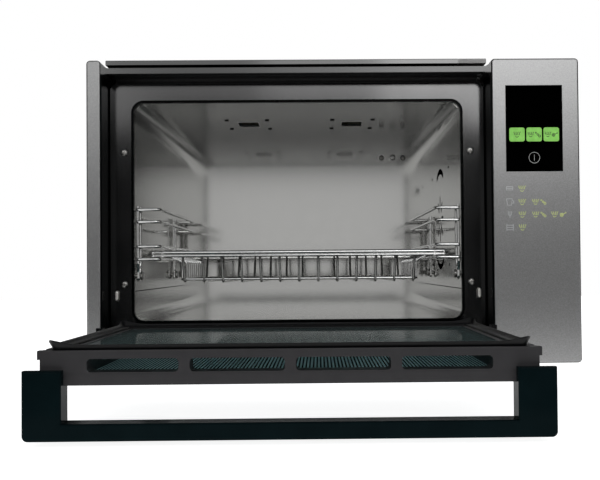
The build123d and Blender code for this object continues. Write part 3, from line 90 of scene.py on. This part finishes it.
# Control panel
KEY_SIZE = (16.4, 14.8)
KEY_RADIUS = 2.2
KEY_RELIEF = 0.03
KEY_X = (193.75, 211.9, 230.05)
KEY_Z = PANEL_BASE + 241.0
KEY_SIGN_OFFSETS = (-3.6, 3.8)  # key's middle to each of its two signs
POWER_X, POWER_Z = 211.85, PANEL_BASE + 216.5
POWER_RADIUS = 5.7
POWER_BAR = 3.2  # half the bar's length
SIGN_ROWS_Z = [PANEL_BASE + height for height in (183.9, 169.8, 156.5, 142.9)]
GREY_SIGN_X = 185.3
GREEN_SIGN_X = (198.4, 212.5, 220.6, 232.6, 241.6)
PRINT_RELIEF = 0.1
PRINT_GRAIN = 900  # grain of prints and shadows, which is too fine to stand out
PRINT_DEPTH = 1e-6

SMOOTH_ANGLE = radians(38)  # edges sharper than this stay sharp


class Look:
    """A node material round one Principled shader, with short calls for the nodes that feed it."""

    def __init__(self, name, colour, roughness, metallic=0.0, **sockets):
        self.material = bpy.data.materials.new(name)
        self.material.use_nodes = True
        self.tree = self.material.node_tree
        self.shader = self.tree.nodes["Principled BSDF"]
        self.place = self.tree.nodes.new("ShaderNodeTexCoord").outputs["Object"]
        self.set("Base Color", (*colour, 1.0))
        self.set("Roughness", roughness)
        self.set("Metallic", metallic)
        for socket, value in sockets.items():
            self.set(socket.replace("_", " "), value)

    def set(self, socket, value):
        """Sets a value that is the same all over the surface."""
        self.shader.inputs[socket].default_value = value

    def feed(self, socket, source):
        """Links a node's output to one of the shader's sockets."""
        self.tree.links.new(source, self.shader.inputs[socket])

    def add(self, kind, inputs, **settings):
        """Adds a node whose inputs are values or the outputs that feed them."""
        node = self.tree.nodes.new(kind)
        for key, value in settings.items():
            setattr(node, key, value)
        for key, value in inputs.items():
            if isinstance(value, bpy.types.NodeSocket):
                self.tree.links.new(value, node.inputs[key])
            else:
                node.inputs[key].default_value = value
        return node

    def stretched(self, x, y, z):
        """Object coordinates scaled along each axis."""
        return self.add("ShaderNodeMapping", {"Vector": self.place, "Scale": (x, y, z)}).outputs[0]

    def noise(self, scale, detail=3.0, where=None):
        """Cloudy noise, with scale cells to the metre."""
        inputs = {"Vector": where or self.place, "Scale": scale, "Detail": detail}
        return self.add("ShaderNodeTexNoise", inputs).outputs[0]

    def cells(self, scale, output="Color"):
        """Flat cells, scale of them to the metre."""
        inputs = {"Vector": self.place, "Scale": scale}
        return self.add("ShaderNodeTexVoronoi", inputs).outputs[output]

    def bands(self, axis, pitch, profile="SIN"):
        """Straight bands across one axis, a pitch apart in metres."""
        inputs = {"Vector": self.place, "Scale": 2 * pi / (20 * pitch)}
        wave = self.add("ShaderNodeTexWave", inputs, bands_direction=axis, wave_profile=profile)
        return wave.outputs[1]

    def ramp(self, factor, *stops):
        """Turns a factor into colours, given as (position, colour) stops."""
        node = self.add("ShaderNodeValToRGB", {"Fac": factor})
        elements = node.color_ramp.elements
        while len(elements) < len(stops):
            elements.new(0.5)
        for element, (position, colour) in zip(elements, stops):
            element.position = position
            element.color = (*colour, 1.0)
        return node.outputs[0]

    def spread(self, factor, low, high):
        """Maps noise from its usual range to a range of values."""
        inputs = {"Value": factor, "From Min": 0.3, "From Max": 0.7, "To Min": low, "To Max": high}
        return self.add("ShaderNodeMapRange", inputs).outputs[0]

    def bump(self, height, depth):
        """Roughens the surface by a height map, depth in metres."""
        node = self.add("ShaderNodeBump", {"Height": height, "Distance": depth})
        self.feed("Normal", node.outputs[0])


def grey(value):
    return (value, value, value)


def moulded(name, colour, roughness, grain, depth, specular=0.5):
    """Plastic or rubber with a fine moulded grain, grain cells to the metre."""
    look = Look(name, colour, roughness, Specular_IOR_Level=specular)
    texture = look.noise(grain)
    lighter = tuple(channel * 1.08 for channel in colour)
    darker = tuple(channel * 0.92 for channel in colour)
    look.feed("Base Color", look.ramp(look.noise(90), (0.3, darker), (0.7, lighter)))
    look.feed("Roughness", look.spread(texture, roughness * 0.85, roughness * 1.15))
    look.bump(texture, depth)
    return look


def polished(name, colour, roughness, wave, ior):
    """Glossy black coat with faint orange peel and a trace of handling."""
    look = Look(name, colour, roughness, IOR=ior)
    tinted = tuple(channel * 1.4 for channel in colour)
    look.feed("Base Color", look.ramp(look.noise(35), (0.3, colour), (0.75, tinted)))
    look.feed("Roughness", look.spread(look.noise(28, 5), roughness * 0.9, roughness * 1.1))
    look.bump(look.noise(220, 2), wave)
    return look


def metal(name, colour, roughness, grain, stretch=(1, 1, 1), contrast=0.12, wear=0.25):
    """Bare metal with brushing or plating marks stretched along an axis."""
    look = Look(name, colour, roughness, 1.0)
    marks = look.noise(grain, 4, look.stretched(*stretch))
    dark = tuple(channel * (1 - contrast) for channel in colour)
    light = tuple(min(1.0, channel * (1 + contrast)) for channel in colour)
    look.feed("Base Color", look.ramp(marks, (0.3, dark), (0.7, light)))
    look.feed("Roughness", look.spread(marks, roughness * (1 - wear), roughness * (1 + wear)))
    return look


def recess_black():
    """Black moulding that is matt inside the recess and glossy on the rail above it."""
    look = Look("recess_black", (0.001, 0.0016, 0.0018), 0.2, IOR=1.9)
    height = look.add("ShaderNodeSeparateXYZ", {"Vector": look.place}).outputs["Z"]
    gloss = {"Value": height, "From Min": (RAIL_Z - 1.0) * MM, "From Max": (RAIL_Z + 0.5) * MM,
             "To Min": 0.01, "To Max": 0.5}
    look.feed("Specular IOR Level", look.add("ShaderNodeMapRange", gloss).outputs[0])
    look.bump(look.noise(220, 2), 4e-6)
    return look


def silver_paint():
    """Silver paint with fine metal flake."""
    look = Look("silver_paint", grey(0.31), 0.31, 1.0)
    flake = look.noise(1300, 1)
    look.feed("Base Color", look.ramp(flake, (0.28, grey(0.27)), (0.72, grey(0.35))))
    look.feed("Roughness", look.spread(flake, 0.29, 0.33))
    return look


def galvanised_sheet():
    """Zinc coated sheet with its spangle."""
    look = Look("galvanised_sheet", (0.45, 0.46, 0.46), 0.38, 1.0)
    spangle = look.cells(110)
    look.feed("Base Color", look.ramp(spangle, (0.0, (0.34, 0.35, 0.355)), (1.0, (0.56, 0.57, 0.57))))
    look.feed("Roughness", look.ramp(spangle, (0.0, grey(0.3)), (1.0, grey(0.48))))
    look.bump(look.noise(400), 2e-5)
    return look


def striped_glass():
    """Dark outer glass with pale teal lines printed inside, from the hinge to the free edge."""
    look = Look("striped_glass", (0.01, 0.03, 0.035), 0.07, Transmission_Weight=0.15, IOR=1.5)
    height = look.add("ShaderNodeSeparateXYZ", {"Vector": look.place}).outputs["Z"]
    through = {"Value": height, "From Min": PANE_Z[0] * MM, "From Max": PANE_Z[1] * MM}
    inside = look.add("ShaderNodeMapRange", through).outputs[0]
    bands = look.bands("X", 0.0031)
    lines = look.add("ShaderNodeMath", {0: bands, 1: inside}, operation="MULTIPLY").outputs[0]
    colours = look.ramp(lines, (0.42, (0.016, 0.026, 0.028)), (0.58, (0.60, 0.82, 0.86)))
    look.feed("Base Color", colours)
    look.feed("Roughness", look.ramp(lines, (0.42, grey(0.06)), (0.58, grey(0.3))))
    return look


def clear_glass():
    """Teal tinted inner pane with a trace of haze."""
    look = Look("clear_glass", (0.27, 0.35, 0.35), 0.05, Transmission_Weight=0.85, IOR=1.03)
    haze = look.noise(14, 5)
    look.feed("Roughness", look.spread(haze, 0.03, 0.09))
    look.feed("Base Color", look.ramp(haze, (0.3, (0.20, 0.28, 0.28)), (0.7, (0.26, 0.34, 0.34))))
    return look


def touch_glass():
    """Black touch glass with faint smears."""
    look = Look("touch_screen", grey(0.0003), 0.08, Specular_IOR_Level=0.0)
    smear = look.noise(40, 6)
    look.feed("Roughness", look.spread(smear, 0.05, 0.13))
    look.feed("Base Color", look.ramp(smear, (0.3, grey(0.0002)), (0.7, grey(0.0004))))
    return look


def wool():
    """Mineral wool blanket with its fibres."""
    look = Look("wool_blanket", (0.7, 0.68, 0.6), 0.95)
    fibre = look.noise(260, 8, look.stretched(1, 0.35, 1))
    look.feed("Base Color", look.ramp(fibre, (0.25, (0.52, 0.49, 0.4)), (0.7, (0.8, 0.78, 0.7))))
    look.bump(fibre, 8e-4)
    return look


def circuit_board():
    """Green solder mask over cells that stand for tracks."""
    look = Look("circuit_board", (0.02, 0.16, 0.06), 0.35)
    tracks = look.cells(190, "Distance")
    look.feed("Base Color", look.ramp(tracks, (0.30, (0.014, 0.11, 0.04)), (0.34, (0.03, 0.2, 0.08))))
    look.bump(tracks, 5e-5)
    return look


def laminations():
    """Stack of thin motor laminations."""
    look = Look("lamination_stack", (0.2, 0.19, 0.18), 0.5, 0.7)
    sheets = look.bands("X", 0.0012)
    look.feed("Base Color", look.ramp(sheets, (0.35, (0.07, 0.065, 0.06)), (0.65, (0.26, 0.25, 0.235))))
    look.bump(sheets, 1.5e-4)
    return look


def heated_steel():
    """Bare steel with heat tints."""
    look = Look("heated_steel", (0.3, 0.27, 0.24), 0.45, 1.0)
    tint = look.noise(30, 3)
    look.feed("Base Color", look.ramp(tint, (0.3, (0.22, 0.19, 0.18)), (0.5, (0.34, 0.28, 0.22)),
                                      (0.7, (0.25, 0.26, 0.3))))
    look.bump(look.noise(900), 3e-5)
    return look


LOOKS = {
    "silver_trim": silver_paint(),
    "black_gloss": polished("black_gloss", (0.001, 0.0016, 0.0018), 0.1, 4e-6, 2.0),
    "black_enamel": polished("black_enamel", (0.0003, 0.0005, 0.0007), 0.12, 4e-6, 2.0),
    "charcoal_strip": moulded("charcoal_strip", (0.030, 0.029, 0.031), 0.45, 1500, 1.5e-5, 0.25),
    "touch_panel": touch_glass(),
    "stainless": metal("stainless_sheet", (0.58, 0.58, 0.565), 0.11, 60, (1, 6, 1), 0.015, 0.05),
    "chrome_wire": metal("chrome_wire", (0.84, 0.84, 0.83), 0.12, 300, contrast=0.1),
    "plated_screw": metal("plated_screw", (0.36, 0.355, 0.34), 0.28, 700, contrast=0.15),
    "galvanised": galvanised_sheet(),
    "cover_paint": moulded("cover_paint", (0.10, 0.10, 0.105), 0.45, 1100, 6e-5),
    "door_glass": clear_glass(),
    "dark_glass": striped_glass(),
    "black_rubber": moulded("black_rubber", (0.003, 0.003, 0.0035), 0.4, 700, 1e-5, 0.2),
    "foot_rubber": moulded("foot_rubber", (0.016, 0.016, 0.016), 0.7, 900, 5e-5),
    "blanket": wool(),
    "board_green": circuit_board(),
    "white_nylon": moulded("white_nylon", (0.7, 0.7, 0.67), 0.45, 800, 2e-5),
    "motor_lamination": laminations(),
    "heater_sheath": heated_steel(),
    "fan_plastic": moulded("fan_plastic", (0.018, 0.018, 0.02), 0.5, 900, 3e-5),
}

# Looks of single pieces that differ from their slot's
NICKEL = metal("satin_nickel", (0.80, 0.78, 0.74), 0.36, 500, contrast=0.1)
NODE_LOOKS = {
    "front_surround": recess_black(),
    # The lid's light matte grey is a painted sheen that stands in for the light along its front
    "top_vent_strip": moulded("lid_sheen_grey", (0.42, 0.415, 0.41), 0.6, 1100, 3e-5, 0.3),
    "buffer_pin_left": NICKEL,
    "buffer_pin_right": NICKEL,
    # The fan chamber is near-black steel all over
    "fan_chamber": moulded("near_black_steel", (0.008, 0.007, 0.006), 0.7, 300, 2e-5, 0.1),
    "fan_impeller": heated_steel(),
    "door_handle": polished("handle_gloss", (0.0022, 0.0055, 0.0064), 0.15, 4e-6, 1.06),
    # The bead's black is partly its own colour and partly painted shade of the gap between the frame and the
    # cavity
    "opening_bead": polished("bead_gap_shade_black", (0.0006, 0.001, 0.001), 0.2, 4e-6, 1.12),
    "left_post": polished("post_black", (0.0006, 0.001, 0.001), 0.3, 4e-6, 1.1),
    "control_bezel": polished("bezel_black", (0.0006, 0.001, 0.001), 0.3, 4e-6, 1.1),
}
for part in frame["record"]["subparts"]:
    mesh = frame["nodes"][part["node"]].data
    mesh.materials.clear()
    mesh.materials.append(NODE_LOOKS.get(part["node"], LOOKS[part["material_slot"]]).material)


def piece(name, mesh, look, body, slot, *replaced):
    """Puts a finished mesh in the scene with its look, on the body that it moves with."""
    made = bpy.data.objects.new(name, mesh)
    scene.collection.objects.link(made)
    mesh.materials.clear()
    mesh.materials.append(look.material)
    for polygon in mesh.polygons:
        polygon.use_smooth = True
    mesh.set_sharp_from_angle(angle=SMOOTH_ANGLE)
    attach(made, body)
    if replaced:
        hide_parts(*replaced)


def closed_mesh(name, bm):
    """Turns a bmesh in millimetres into a mesh in metres, with its faces outwards."""
    bmesh.ops.recalc_face_normals(bm, faces=bm.faces)
    bm.transform(Matrix.Scale(MM, 4))
    mesh = bpy.data.meshes.new(name)
    bm.to_mesh(mesh)
    bm.free()
    return mesh


def block(bm, centre, size):
    """Adds a plain block."""
    corners = bmesh.ops.create_cube(bm, size=1.0)["verts"]
    bmesh.ops.transform(bm, verts=corners, matrix=Matrix.Translation(centre) @ Matrix.Diagonal((*size, 1)))


def bridge(bm, low, high):
    """Joins two rings of as many points with a band of faces."""
    for step in range(len(low)):
        after = (step + 1) % len(low)
        bm.faces.new((low[step], low[after], high[after], high[step]))


def turned(bm, rings, place, segments=40):
    """Adds a closed turned shape of (height, radius) rings, where a radius may depend on the angle."""
    loops = []
    for height, radius in rings:
        loop = []
        for step in range(segments):
            angle = 2 * pi * step / segments
            reach = radius(angle) if callable(radius) else radius
            loop.append(bm.verts.new(place @ Vector((reach * cos(angle), reach * sin(angle), height))))
        loops.append(loop)
    for low, high in zip(loops, loops[1:]):
        bridge(bm, low, high)
    bm.faces.new(loops[0])
    bm.faces.new(loops[-1])


def pan_screw(bm, place, length):
    """Adds a pan head screw with a cross recess, seated at place and pointing along its Z."""
    def cross(angle):
        return SCREW_HEAD * (0.07 + 0.2 * abs(cos(2 * angle)) ** 5)

    radius = SCREW_HEAD / 2
    rings = [
        (-length, SCREW_SHANK * 0.38), (-length + 0.8, SCREW_SHANK / 2), (0, SCREW_SHANK / 2),
        (0, radius * 0.97), (SCREW_RISE * 0.12, radius), (SCREW_RISE * 0.45, radius * 0.97),
        (SCREW_RISE * 0.75, radius * 0.86), (SCREW_RISE * 0.93, radius * 0.68),
        (SCREW_RISE, radius * 0.56), (SCREW_RISE, cross),
        (SCREW_RISE * 0.3, lambda angle: cross(angle) * 0.7),
    ]
    turned(bm, rings, place)


def facing(x, y, z, toward):
    """Place of a screw in millimetres, with its head toward a direction."""
    return Matrix.Translation((x, y, z)) @ Vector(toward).to_track_quat("Z", "Y").to_matrix().to_4x4()


# Screws with their recesses, in the places of the plain CAD screws
bm = bmesh.new()
for side in (-1, 1):
    for z in FRAME_SCREW_HEIGHTS:
        frame_place = facing(CENTRE_X + side * FRAME_SCREW_REACH, FACE_Y, z, (0, -1, 0))
        pan_screw(bm, frame_place, FRONT_SCREW_LENGTH)
    sensor_place = facing(SENSOR_X + side * SENSOR_SCREW_REACH, BACK_Y - SENSOR_PLATE, SENSOR_Z, (0, -1, 0))
    pan_screw(bm, sensor_place, FRONT_SCREW_LENGTH)
piece("front_screw_heads", closed_mesh("front_screw_heads", bm), LOOKS["plated_screw"], "cabinet",
      "plated_screw", "cavity_screws")

bm = bmesh.new()
for row_x, z in ((REAR_LOW_X, REAR_LOW_Z), (REAR_HIGH_X, REAR_HIGH_Z)):
    for x in row_x:
        pan_screw(bm, facing(x, REAR_Y, z, (0, 1, 0)), REAR_SCREW_LENGTH)
piece("rear_screw_heads", closed_mesh("rear_screw_heads", bm), LOOKS["plated_screw"], "cabinet",
      "plated_screw", "rear_screws")


def rounded_path(x, y, radius, steps, pitch):
    """Points round a rectangle with rounded corners, each with its outward normal."""
    low_x, high_x = x[0] + radius, x[1] - radius
    low_y, high_y = y[0] + radius, y[1] - radius
    centres = [Vector(spot) for spot in ((high_x, high_y), (low_x, high_y), (low_x, low_y), (high_x, low_y))]
    points = []
    for corner, centre in enumerate(centres):
        for step in range(steps + 1):
            angle = radians(90 * corner + 90 * step / steps)
            normal = Vector((cos(angle), sin(angle)))
            points.append((centre + normal * radius, normal))
        following = (corner + 1) % 4
        turn = radians(90 * following)
        normal = Vector((cos(turn), sin(turn)))
        first, last = points[-1][0], centres[following] + normal * radius
        runs = max(6, int((last - first).length / pitch))
        for step in range(1, runs):
            points.append((first.lerp(last, step / runs), normal))
    return points


def gasket_lip(x, y, base):
    """Rubber door seal: a foot with a curled lip that rises to an ear at each corner."""
    ear_start, ear_length = 2.0, 24.0
    lip_top, ear_top = 4.3, 3.7
    lip_flare, ear_flare = 1.2, 2.1
    corners = [Vector((cx, cy)) for cx in x for cy in y]
    bm = bmesh.new()
    loops = []
    for spot, normal in rounded_path(x, y, radius=5.0, steps=10, pitch=6):
        near = min((spot - corner).length for corner in corners)
        ear = max(0.0, 1 - max(0.0, near - ear_start) / ear_length) ** 2
        top = lip_top + ear_top * ear
        flare = lip_flare + ear_flare * ear
        section = ((-8.0, 0.0), (-8.0, 1.3), (-7.2, 1.9), (-3.6, 1.7), (-1.7, 2.3), (flare - 1.9, top * 0.75),
                   (flare - 1.0, top), (flare - 0.3, top * 0.97), (flare - 0.4, top * 0.8),
                   (0.2, 2.0), (0.0, 0.7), (-0.6, 0.0))
        loops.append([bm.verts.new((spot.x + normal.x * out, spot.y + normal.y * out, base + rise))
                      for out, rise in section])
    for index, loop in enumerate(loops):
        bridge(bm, loop, loops[(index + 1) % len(loops)])
    return closed_mesh("gasket_lip", bm)


gasket_low, gasket_high = (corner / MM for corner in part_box("door_gasket"))
lip_x = (gasket_low.x + GASKET_INSET, gasket_high.x - GASKET_INSET)
lip_y = (gasket_low.y + GASKET_INSET, gasket_high.y - GASKET_INSET)
piece("gasket_lip", gasket_lip(lip_x, lip_y, gasket_low.z), LOOKS["black_rubber"], "door", "black_rubber",
      "door_gasket")


def printed(name, lines, width, y, look, slot):
    """Thin printed strokes along (x, z) lines on a surface that faces the front at y."""
    curve = bpy.data.curves.new(name, "CURVE")
    curve.dimensions = "3D"
    curve.bevel_depth = width / 2
    curve.bevel_resolution = 1
    curve.use_fill_caps = True
    for line in lines:
        spline = curve.splines.new("POLY")
        spline.points.add(len(line) - 1)
        for point, (x, z) in zip(spline.points, line):
            point.co = (x, 0.0, z, 1.0)
    maker = bpy.data.objects.new(name, curve)
    scene.collection.objects.link(maker)
    bpy.context.view_layer.update()
    mesh = bpy.data.meshes.new_from_object(maker.evaluated_get(bpy.context.evaluated_depsgraph_get()))
    bpy.data.objects.remove(maker)
    flat = PRINT_RELIEF / width
    mesh.transform(Matrix.Scale(MM, 4) @ Matrix.Translation((0, y, 0)) @ Matrix.Diagonal((1, flat, 1, 1)))
    piece(name, mesh, look, "cabinet", slot)


def arc(x, z, radius, start, end, steps=14):
    """Points of an arc, in degrees from +X towards +Z."""
    angles = [radians(start + (end - start) * step / steps) for step in range(steps + 1)]
    return [(x + radius * cos(angle), z + radius * sin(angle)) for angle in angles]


def steam(x, z, size):
    """Four rising wisps over a small dish."""
    lines = [arc(x, z - size * 0.16, size * 0.26, 200, 340)]
    for place in (-1.5, -0.5, 0.5, 1.5):
        wisp = []
        for index in range(7):
            spread = place * size * (0.21 + 0.022 * index)
            wisp.append((x + spread + sin(index * 1.4) * size * 0.04, z + size * (index * 0.09 - 0.1)))
        lines.append(wisp)
    return lines


def bubbles(x, z, size):
    """Three small rings down a slope, the lowest the largest."""
    return [arc(x + step * size * 0.34, z - step * size * 0.3, size * (0.15 + 0.04 * step), 0, 360, 12)
            for step in (-1, 0, 1)]


def leg(x, z, size):
    """A drumstick, its bone to the upper right."""
    meat = (x - size * 0.22, z - size * 0.1)
    knuckle = (x + size * 0.4, z + size * 0.22)
    lines = [arc(*meat, size * radius, 0, 360, 18) for radius in (0.24, 0.1)]
    lines.append([(x - size * 0.02, z), knuckle])
    lines.append([(knuckle[0] - size * 0.06, knuckle[1] + size * 0.1), knuckle,
                  (knuckle[0] + size * 0.1, knuckle[1] - size * 0.06)])
    return lines


def shelf(x, z, size):
    """Three level lines between two uprights."""
    half = size / 2
    lines = [[(x + side * half, z - half), (x + side * half, z + half)] for side in (-1, 1)]
    for step in (-1, 0, 1):
        level = z + step * half * 0.7
        lines.append([(x - half, level), (x + half, level)])
    return lines


def cup(x, z, size):
    """A cup with a handle."""
    half = size / 2
    top, bottom = z + half, z - half
    wall = [(x - half, top), (x - half * 0.7, bottom), (x + half * 0.5, bottom), (x + half * 0.8, top),
            (x - half, top)]
    return [wall, arc(x + half * 0.75, z, half * 0.5, -80, 80)]


def fork(x, z, size):
    """A fork with three tines."""
    half = size / 2
    crook = z + half * 0.2
    lines = [[(x, z - half), (x, z + half)], arc(x, crook, half * 0.5, 180, 360)]
    for side in (-1, 1):
        tine_x = x + side * half * 0.5
        lines.append([(tine_x, crook), (tine_x, z + half)])
    return lines


def tray(x, z, size):
    """A flat tray with a rim."""
    half = size / 2
    top, rim, bottom = z + half * 0.6, z + half * 0.1, z - half * 0.4
    outline = [(x - half, top), (x - half, bottom), (x + half, bottom), (x + half, top), (x - half, top)]
    return [outline, [(x - half, rim), (x + half, rim)]]


def key_plate(bm, x, z):
    """Adds a thin lit key with rounded corners on the touch glass."""
    reach_x, reach_z = KEY_SIZE[0] / 2 - KEY_RADIUS, KEY_SIZE[1] / 2 - KEY_RADIUS
    outline = []
    for side_x, side_z, start in ((1, 1, 0), (-1, 1, 90), (-1, -1, 180), (1, -1, 270)):
        outline += arc(x + side_x * reach_x, z + side_z * reach_z, KEY_RADIUS, start, start + 90, 6)
    back = [bm.verts.new((px, GLASS_Y + KEY_RELIEF, pz)) for px, pz in outline]
    front = [bm.verts.new((px, GLASS_Y - KEY_RELIEF, pz)) for px, pz in outline]
    bridge(bm, back, front)
    bm.faces.new(front)
    bm.faces.new(back)


# Joint between the cavity's floor pan and its walls, a thin line of painted shade on each side
bm = bmesh.new()
for side in (-1, 1):
    block(bm, (CENTRE_X + side * WALL_REACH, (WALL_Y + BACK_Y) / 2, SEAM_Z), SEAM_SIZE)
# Near-black that paints the shade in the cavity's seams and beside the ceiling vents' tabs
painted_shade_look = moulded("painted_seam_tab_shade", grey(0.012), 0.8, PRINT_GRAIN, PRINT_DEPTH, 0.05)
piece("seam_lines", closed_mesh("seam_lines", bm), painted_shade_look, "cabinet", "stainless")

# Bent tabs that hold the ceiling vents, drawn as near-black dashes of painted shade
bm = bmesh.new()
for vent in (-VENT_REACH, VENT_REACH):
    for side in (-TAB_REACH, TAB_REACH):
        for y in TAB_ROWS_Y:
            block(bm, (CENTRE_X + vent + side, y, CEILING_Z), TAB_SIZE)
piece("vent_tabs", closed_mesh("vent_tabs", bm), painted_shade_look, "cabinet", "stainless")

# Signs on the control panel, all of a general kind
key_look = Look("lit_key", (0.19, 0.52, 0.07), 0.35, Emission_Strength=0.22)
key_glow = key_look.noise(160, 2)
key_look.feed("Base Color", key_look.ramp(key_glow, (0.3, (0.16, 0.46, 0.06)), (0.7, (0.24, 0.6, 0.1))))
key_look.set("Emission Color", (0.3, 0.75, 0.12, 1.0))
sign_dark = moulded("dark_print", (0.01, 0.025, 0.008), 0.5, PRINT_GRAIN, PRINT_DEPTH)
sign_grey = moulded("grey_print", (0.5, 0.51, 0.52), 0.5, PRINT_GRAIN, PRINT_DEPTH)
sign_green = moulded("green_print", (0.62, 0.7, 0.24), 0.5, PRINT_GRAIN, PRINT_DEPTH)
sign_light = moulded("light_print", (0.55, 0.57, 0.57), 0.45, PRINT_GRAIN, PRINT_DEPTH)

bm = bmesh.new()
for x in KEY_X:
    key_plate(bm, x, KEY_Z)
piece("touch_keys", closed_mesh("touch_keys", bm), key_look, "cabinet", "touch_panel")

left_sign, right_sign = KEY_SIGN_OFFSETS
key_signs = steam(KEY_X[0], KEY_Z, 6.6)
key_signs += steam(KEY_X[1] + left_sign, KEY_Z, 6.0) + bubbles(KEY_X[1] + right_sign, KEY_Z, 5.6)
key_signs += steam(KEY_X[2] + left_sign, KEY_Z, 6.0) + leg(KEY_X[2] + right_sign, KEY_Z, 6.4)
printed("key_signs", key_signs, 0.7, GLASS_Y - 0.04, sign_dark, "touch_panel")

power_lines = [arc(POWER_X, POWER_Z, POWER_RADIUS, 0, 360, 48),
               [(POWER_X, POWER_Z - POWER_BAR), (POWER_X, POWER_Z + POWER_BAR)]]
printed("power_sign", power_lines, 0.45, GLASS_Y, sign_light, "touch_panel")

grey_signs = []
for sign, z in zip((tray, cup, fork, shelf), SIGN_ROWS_Z):
    grey_signs += sign(GREY_SIGN_X, z, 6.8)
green_signs = []
for z in SIGN_ROWS_Z:
    green_signs += steam(GREEN_SIGN_X[0], z, 7.0)
for z in SIGN_ROWS_Z[1:3]:
    green_signs += steam(GREEN_SIGN_X[1], z, 6.6) + bubbles(GREEN_SIGN_X[2], z, 5.6)
green_signs += steam(GREEN_SIGN_X[3], SIGN_ROWS_Z[2], 6.6) + leg(GREEN_SIGN_X[4], SIGN_ROWS_Z[2], 7.0)
printed("grey_signs", grey_signs, 0.8, FRONT_Y, sign_grey, "silver_trim")
printed("green_signs", green_signs, 0.8, FRONT_Y, sign_green, "silver_trim")

# Pale floor that fades into the backdrop
floor_look = Look("pale_floor", grey(0.8), 0.7, Emission_Strength=0.88)
floor_look.set("Emission Color", (1.0, 1.0, 1.0, 1.0))
floor_look.feed("Base Color", floor_look.ramp(floor_look.noise(6), (0.3, grey(0.78)), (0.7, grey(0.82))))
bm = bmesh.new()
bmesh.ops.create_grid(bm, x_segments=1, y_segments=1, size=0.5)
bm.transform(Matrix.Translation((0, 1.35, 0)) @ Matrix.Diagonal((6.4, 3.7, 1, 1)))
floor_mesh = bpy.data.meshes.new("floor")
bm.to_mesh(floor_mesh)
bm.free()
floor_mesh.materials.append(floor_look.material)
floor = bpy.data.objects.new("floor", floor_mesh)
scene.collection.objects.link(floor)

# White backdrop to the camera, and a dim glow from above to everything else
world = bpy.data.worlds.new("studio")
world.use_nodes = True
scene.world = world
tree = world.node_tree
tree.nodes.clear()
light_path = tree.nodes.new("ShaderNodeLightPath")
backdrop = tree.nodes.new("ShaderNodeBackground")
ambient = tree.nodes.new("ShaderNodeBackground")
chosen = tree.nodes.new("ShaderNodeMixShader")
output = tree.nodes.new("ShaderNodeOutputWorld")
backdrop.inputs["Color"].default_value = (1.0, 1.0, 1.0, 1.0)
direction = tree.nodes.new("ShaderNodeTexCoord")
height = tree.nodes.new("ShaderNodeSeparateXYZ")
glow = tree.nodes.new("ShaderNodeMapRange")
for socket, value in {"From Min": 0.1, "From Max": 0.7, "To Min": 0.012, "To Max": 0.4}.items():
    glow.inputs[socket].default_value = value
tree.links.new(direction.outputs["Generated"], height.inputs[0])
tree.links.new(height.outputs["Z"], glow.inputs["Value"])
tree.links.new(glow.outputs[0], ambient.inputs["Strength"])
ambient.inputs["Color"].default_value = (0.97, 0.99, 1.0, 1.0)
tree.links.new(light_path.outputs["Is Camera Ray"], chosen.inputs[0])
tree.links.new(ambient.outputs[0], chosen.inputs[1])
tree.links.new(backdrop.outputs[0], chosen.inputs[2])
tree.links.new(chosen.outputs[0], output.inputs[0])


def softbox(name, centre, target, size, radiance):
    """A rectangular light of a given radiance, aimed from its centre at a target."""
    lamp = bpy.data.lights.new(name, "AREA")
    lamp.shape = "RECTANGLE"
    lamp.size, lamp.size_y = size
    lamp.energy = radiance * size[0] * size[1] * pi
    box = bpy.data.objects.new(name, lamp)
    box.location = centre
    box.rotation_euler = (Vector(target) - Vector(centre)).to_track_quat("-Z", "Y").to_euler()
    box.visible_camera = False
    scene.collection.objects.link(box)


# A row of softboxes in front that shades the silver plates, then low fills, top and rear
softbox("key", (1.075, -3.0, 1.36), (1.075, 0.0, 1.36), (0.95, 1.24), 3.0)
softbox("key_inner", (0.425, -3.0, 1.4), (0.425, 0.0, 1.4), (0.35, 1.16), 3.4)
softbox("middle", (0.0, -3.0, 1.41), (0.0, 0.0, 1.41), (0.5, 1.14), 1.8)
softbox("fill_inner", (-0.485, -3.0, 1.41), (-0.485, 0.0, 1.41), (0.47, 1.14), 0.9)
softbox("fill", (-0.835, -3.0, 1.36), (-0.835, 0.0, 1.36), (0.23, 1.24), 0.9)
softbox("side", (-1.5, -3.0, 1.36), (-1.5, 0.0, 1.36), (1.1, 1.24), 2.2)
softbox("mouth", (-0.09, -3.2, 0.3), (-0.09, 0.0, 0.3), (1.2, 0.7), 0.6)
softbox("bounce", (-0.04, -2.1, -0.15), (-0.04, -2.1, 1.0), (1.2, 0.5), 0.5)
softbox("low_left", (-1.8, -1.6, 0.3), (0.0, -0.1, 0.2), (1.2, 0.8), 0.9)
softbox("low_right", (1.75, -1.6, 0.3), (0.0, -0.1, 0.2), (1.2, 0.8), 0.9)
softbox("top", (0.0, 0.2, 2.4), (0.0, 0.1, 0.0), (1.6, 1.2), 2.0)
softbox("rear", (0.8, 3.2, 1.5), (0.0, 0.3, 0.2), (1.8, 1.4), 2.0)

# Camera fitted to the photograph's straight edges
camera = bpy.data.cameras.new("camera")
camera.sensor_width = 36.0
camera.lens = 56.61
camera.shift_x = -0.0503
camera.shift_y = 0.0149
yaw, pitch, roll = radians(0.672), radians(1.181), radians(-0.471)
level = Vector((sin(yaw), cos(yaw), 0))
across = Vector((cos(yaw), -sin(yaw), 0))
ahead = level * cos(pitch) + Vector((0, 0, 1)) * sin(pitch)
upward = Vector((0, 0, 1)) * cos(pitch) - level * sin(pitch)
right = across * cos(roll) + upward * sin(roll)
above = upward * cos(roll) - across * sin(roll)
eye = bpy.data.objects.new("camera", camera)
eye.matrix_world = Matrix((right, above, -ahead)).transposed().to_4x4()
eye.location = Vector((-16.115, -1060.235, 134.337)) * MM
scene.collection.objects.link(eye)
scene.camera = eye
scene.view_settings.view_transform = "Standard"
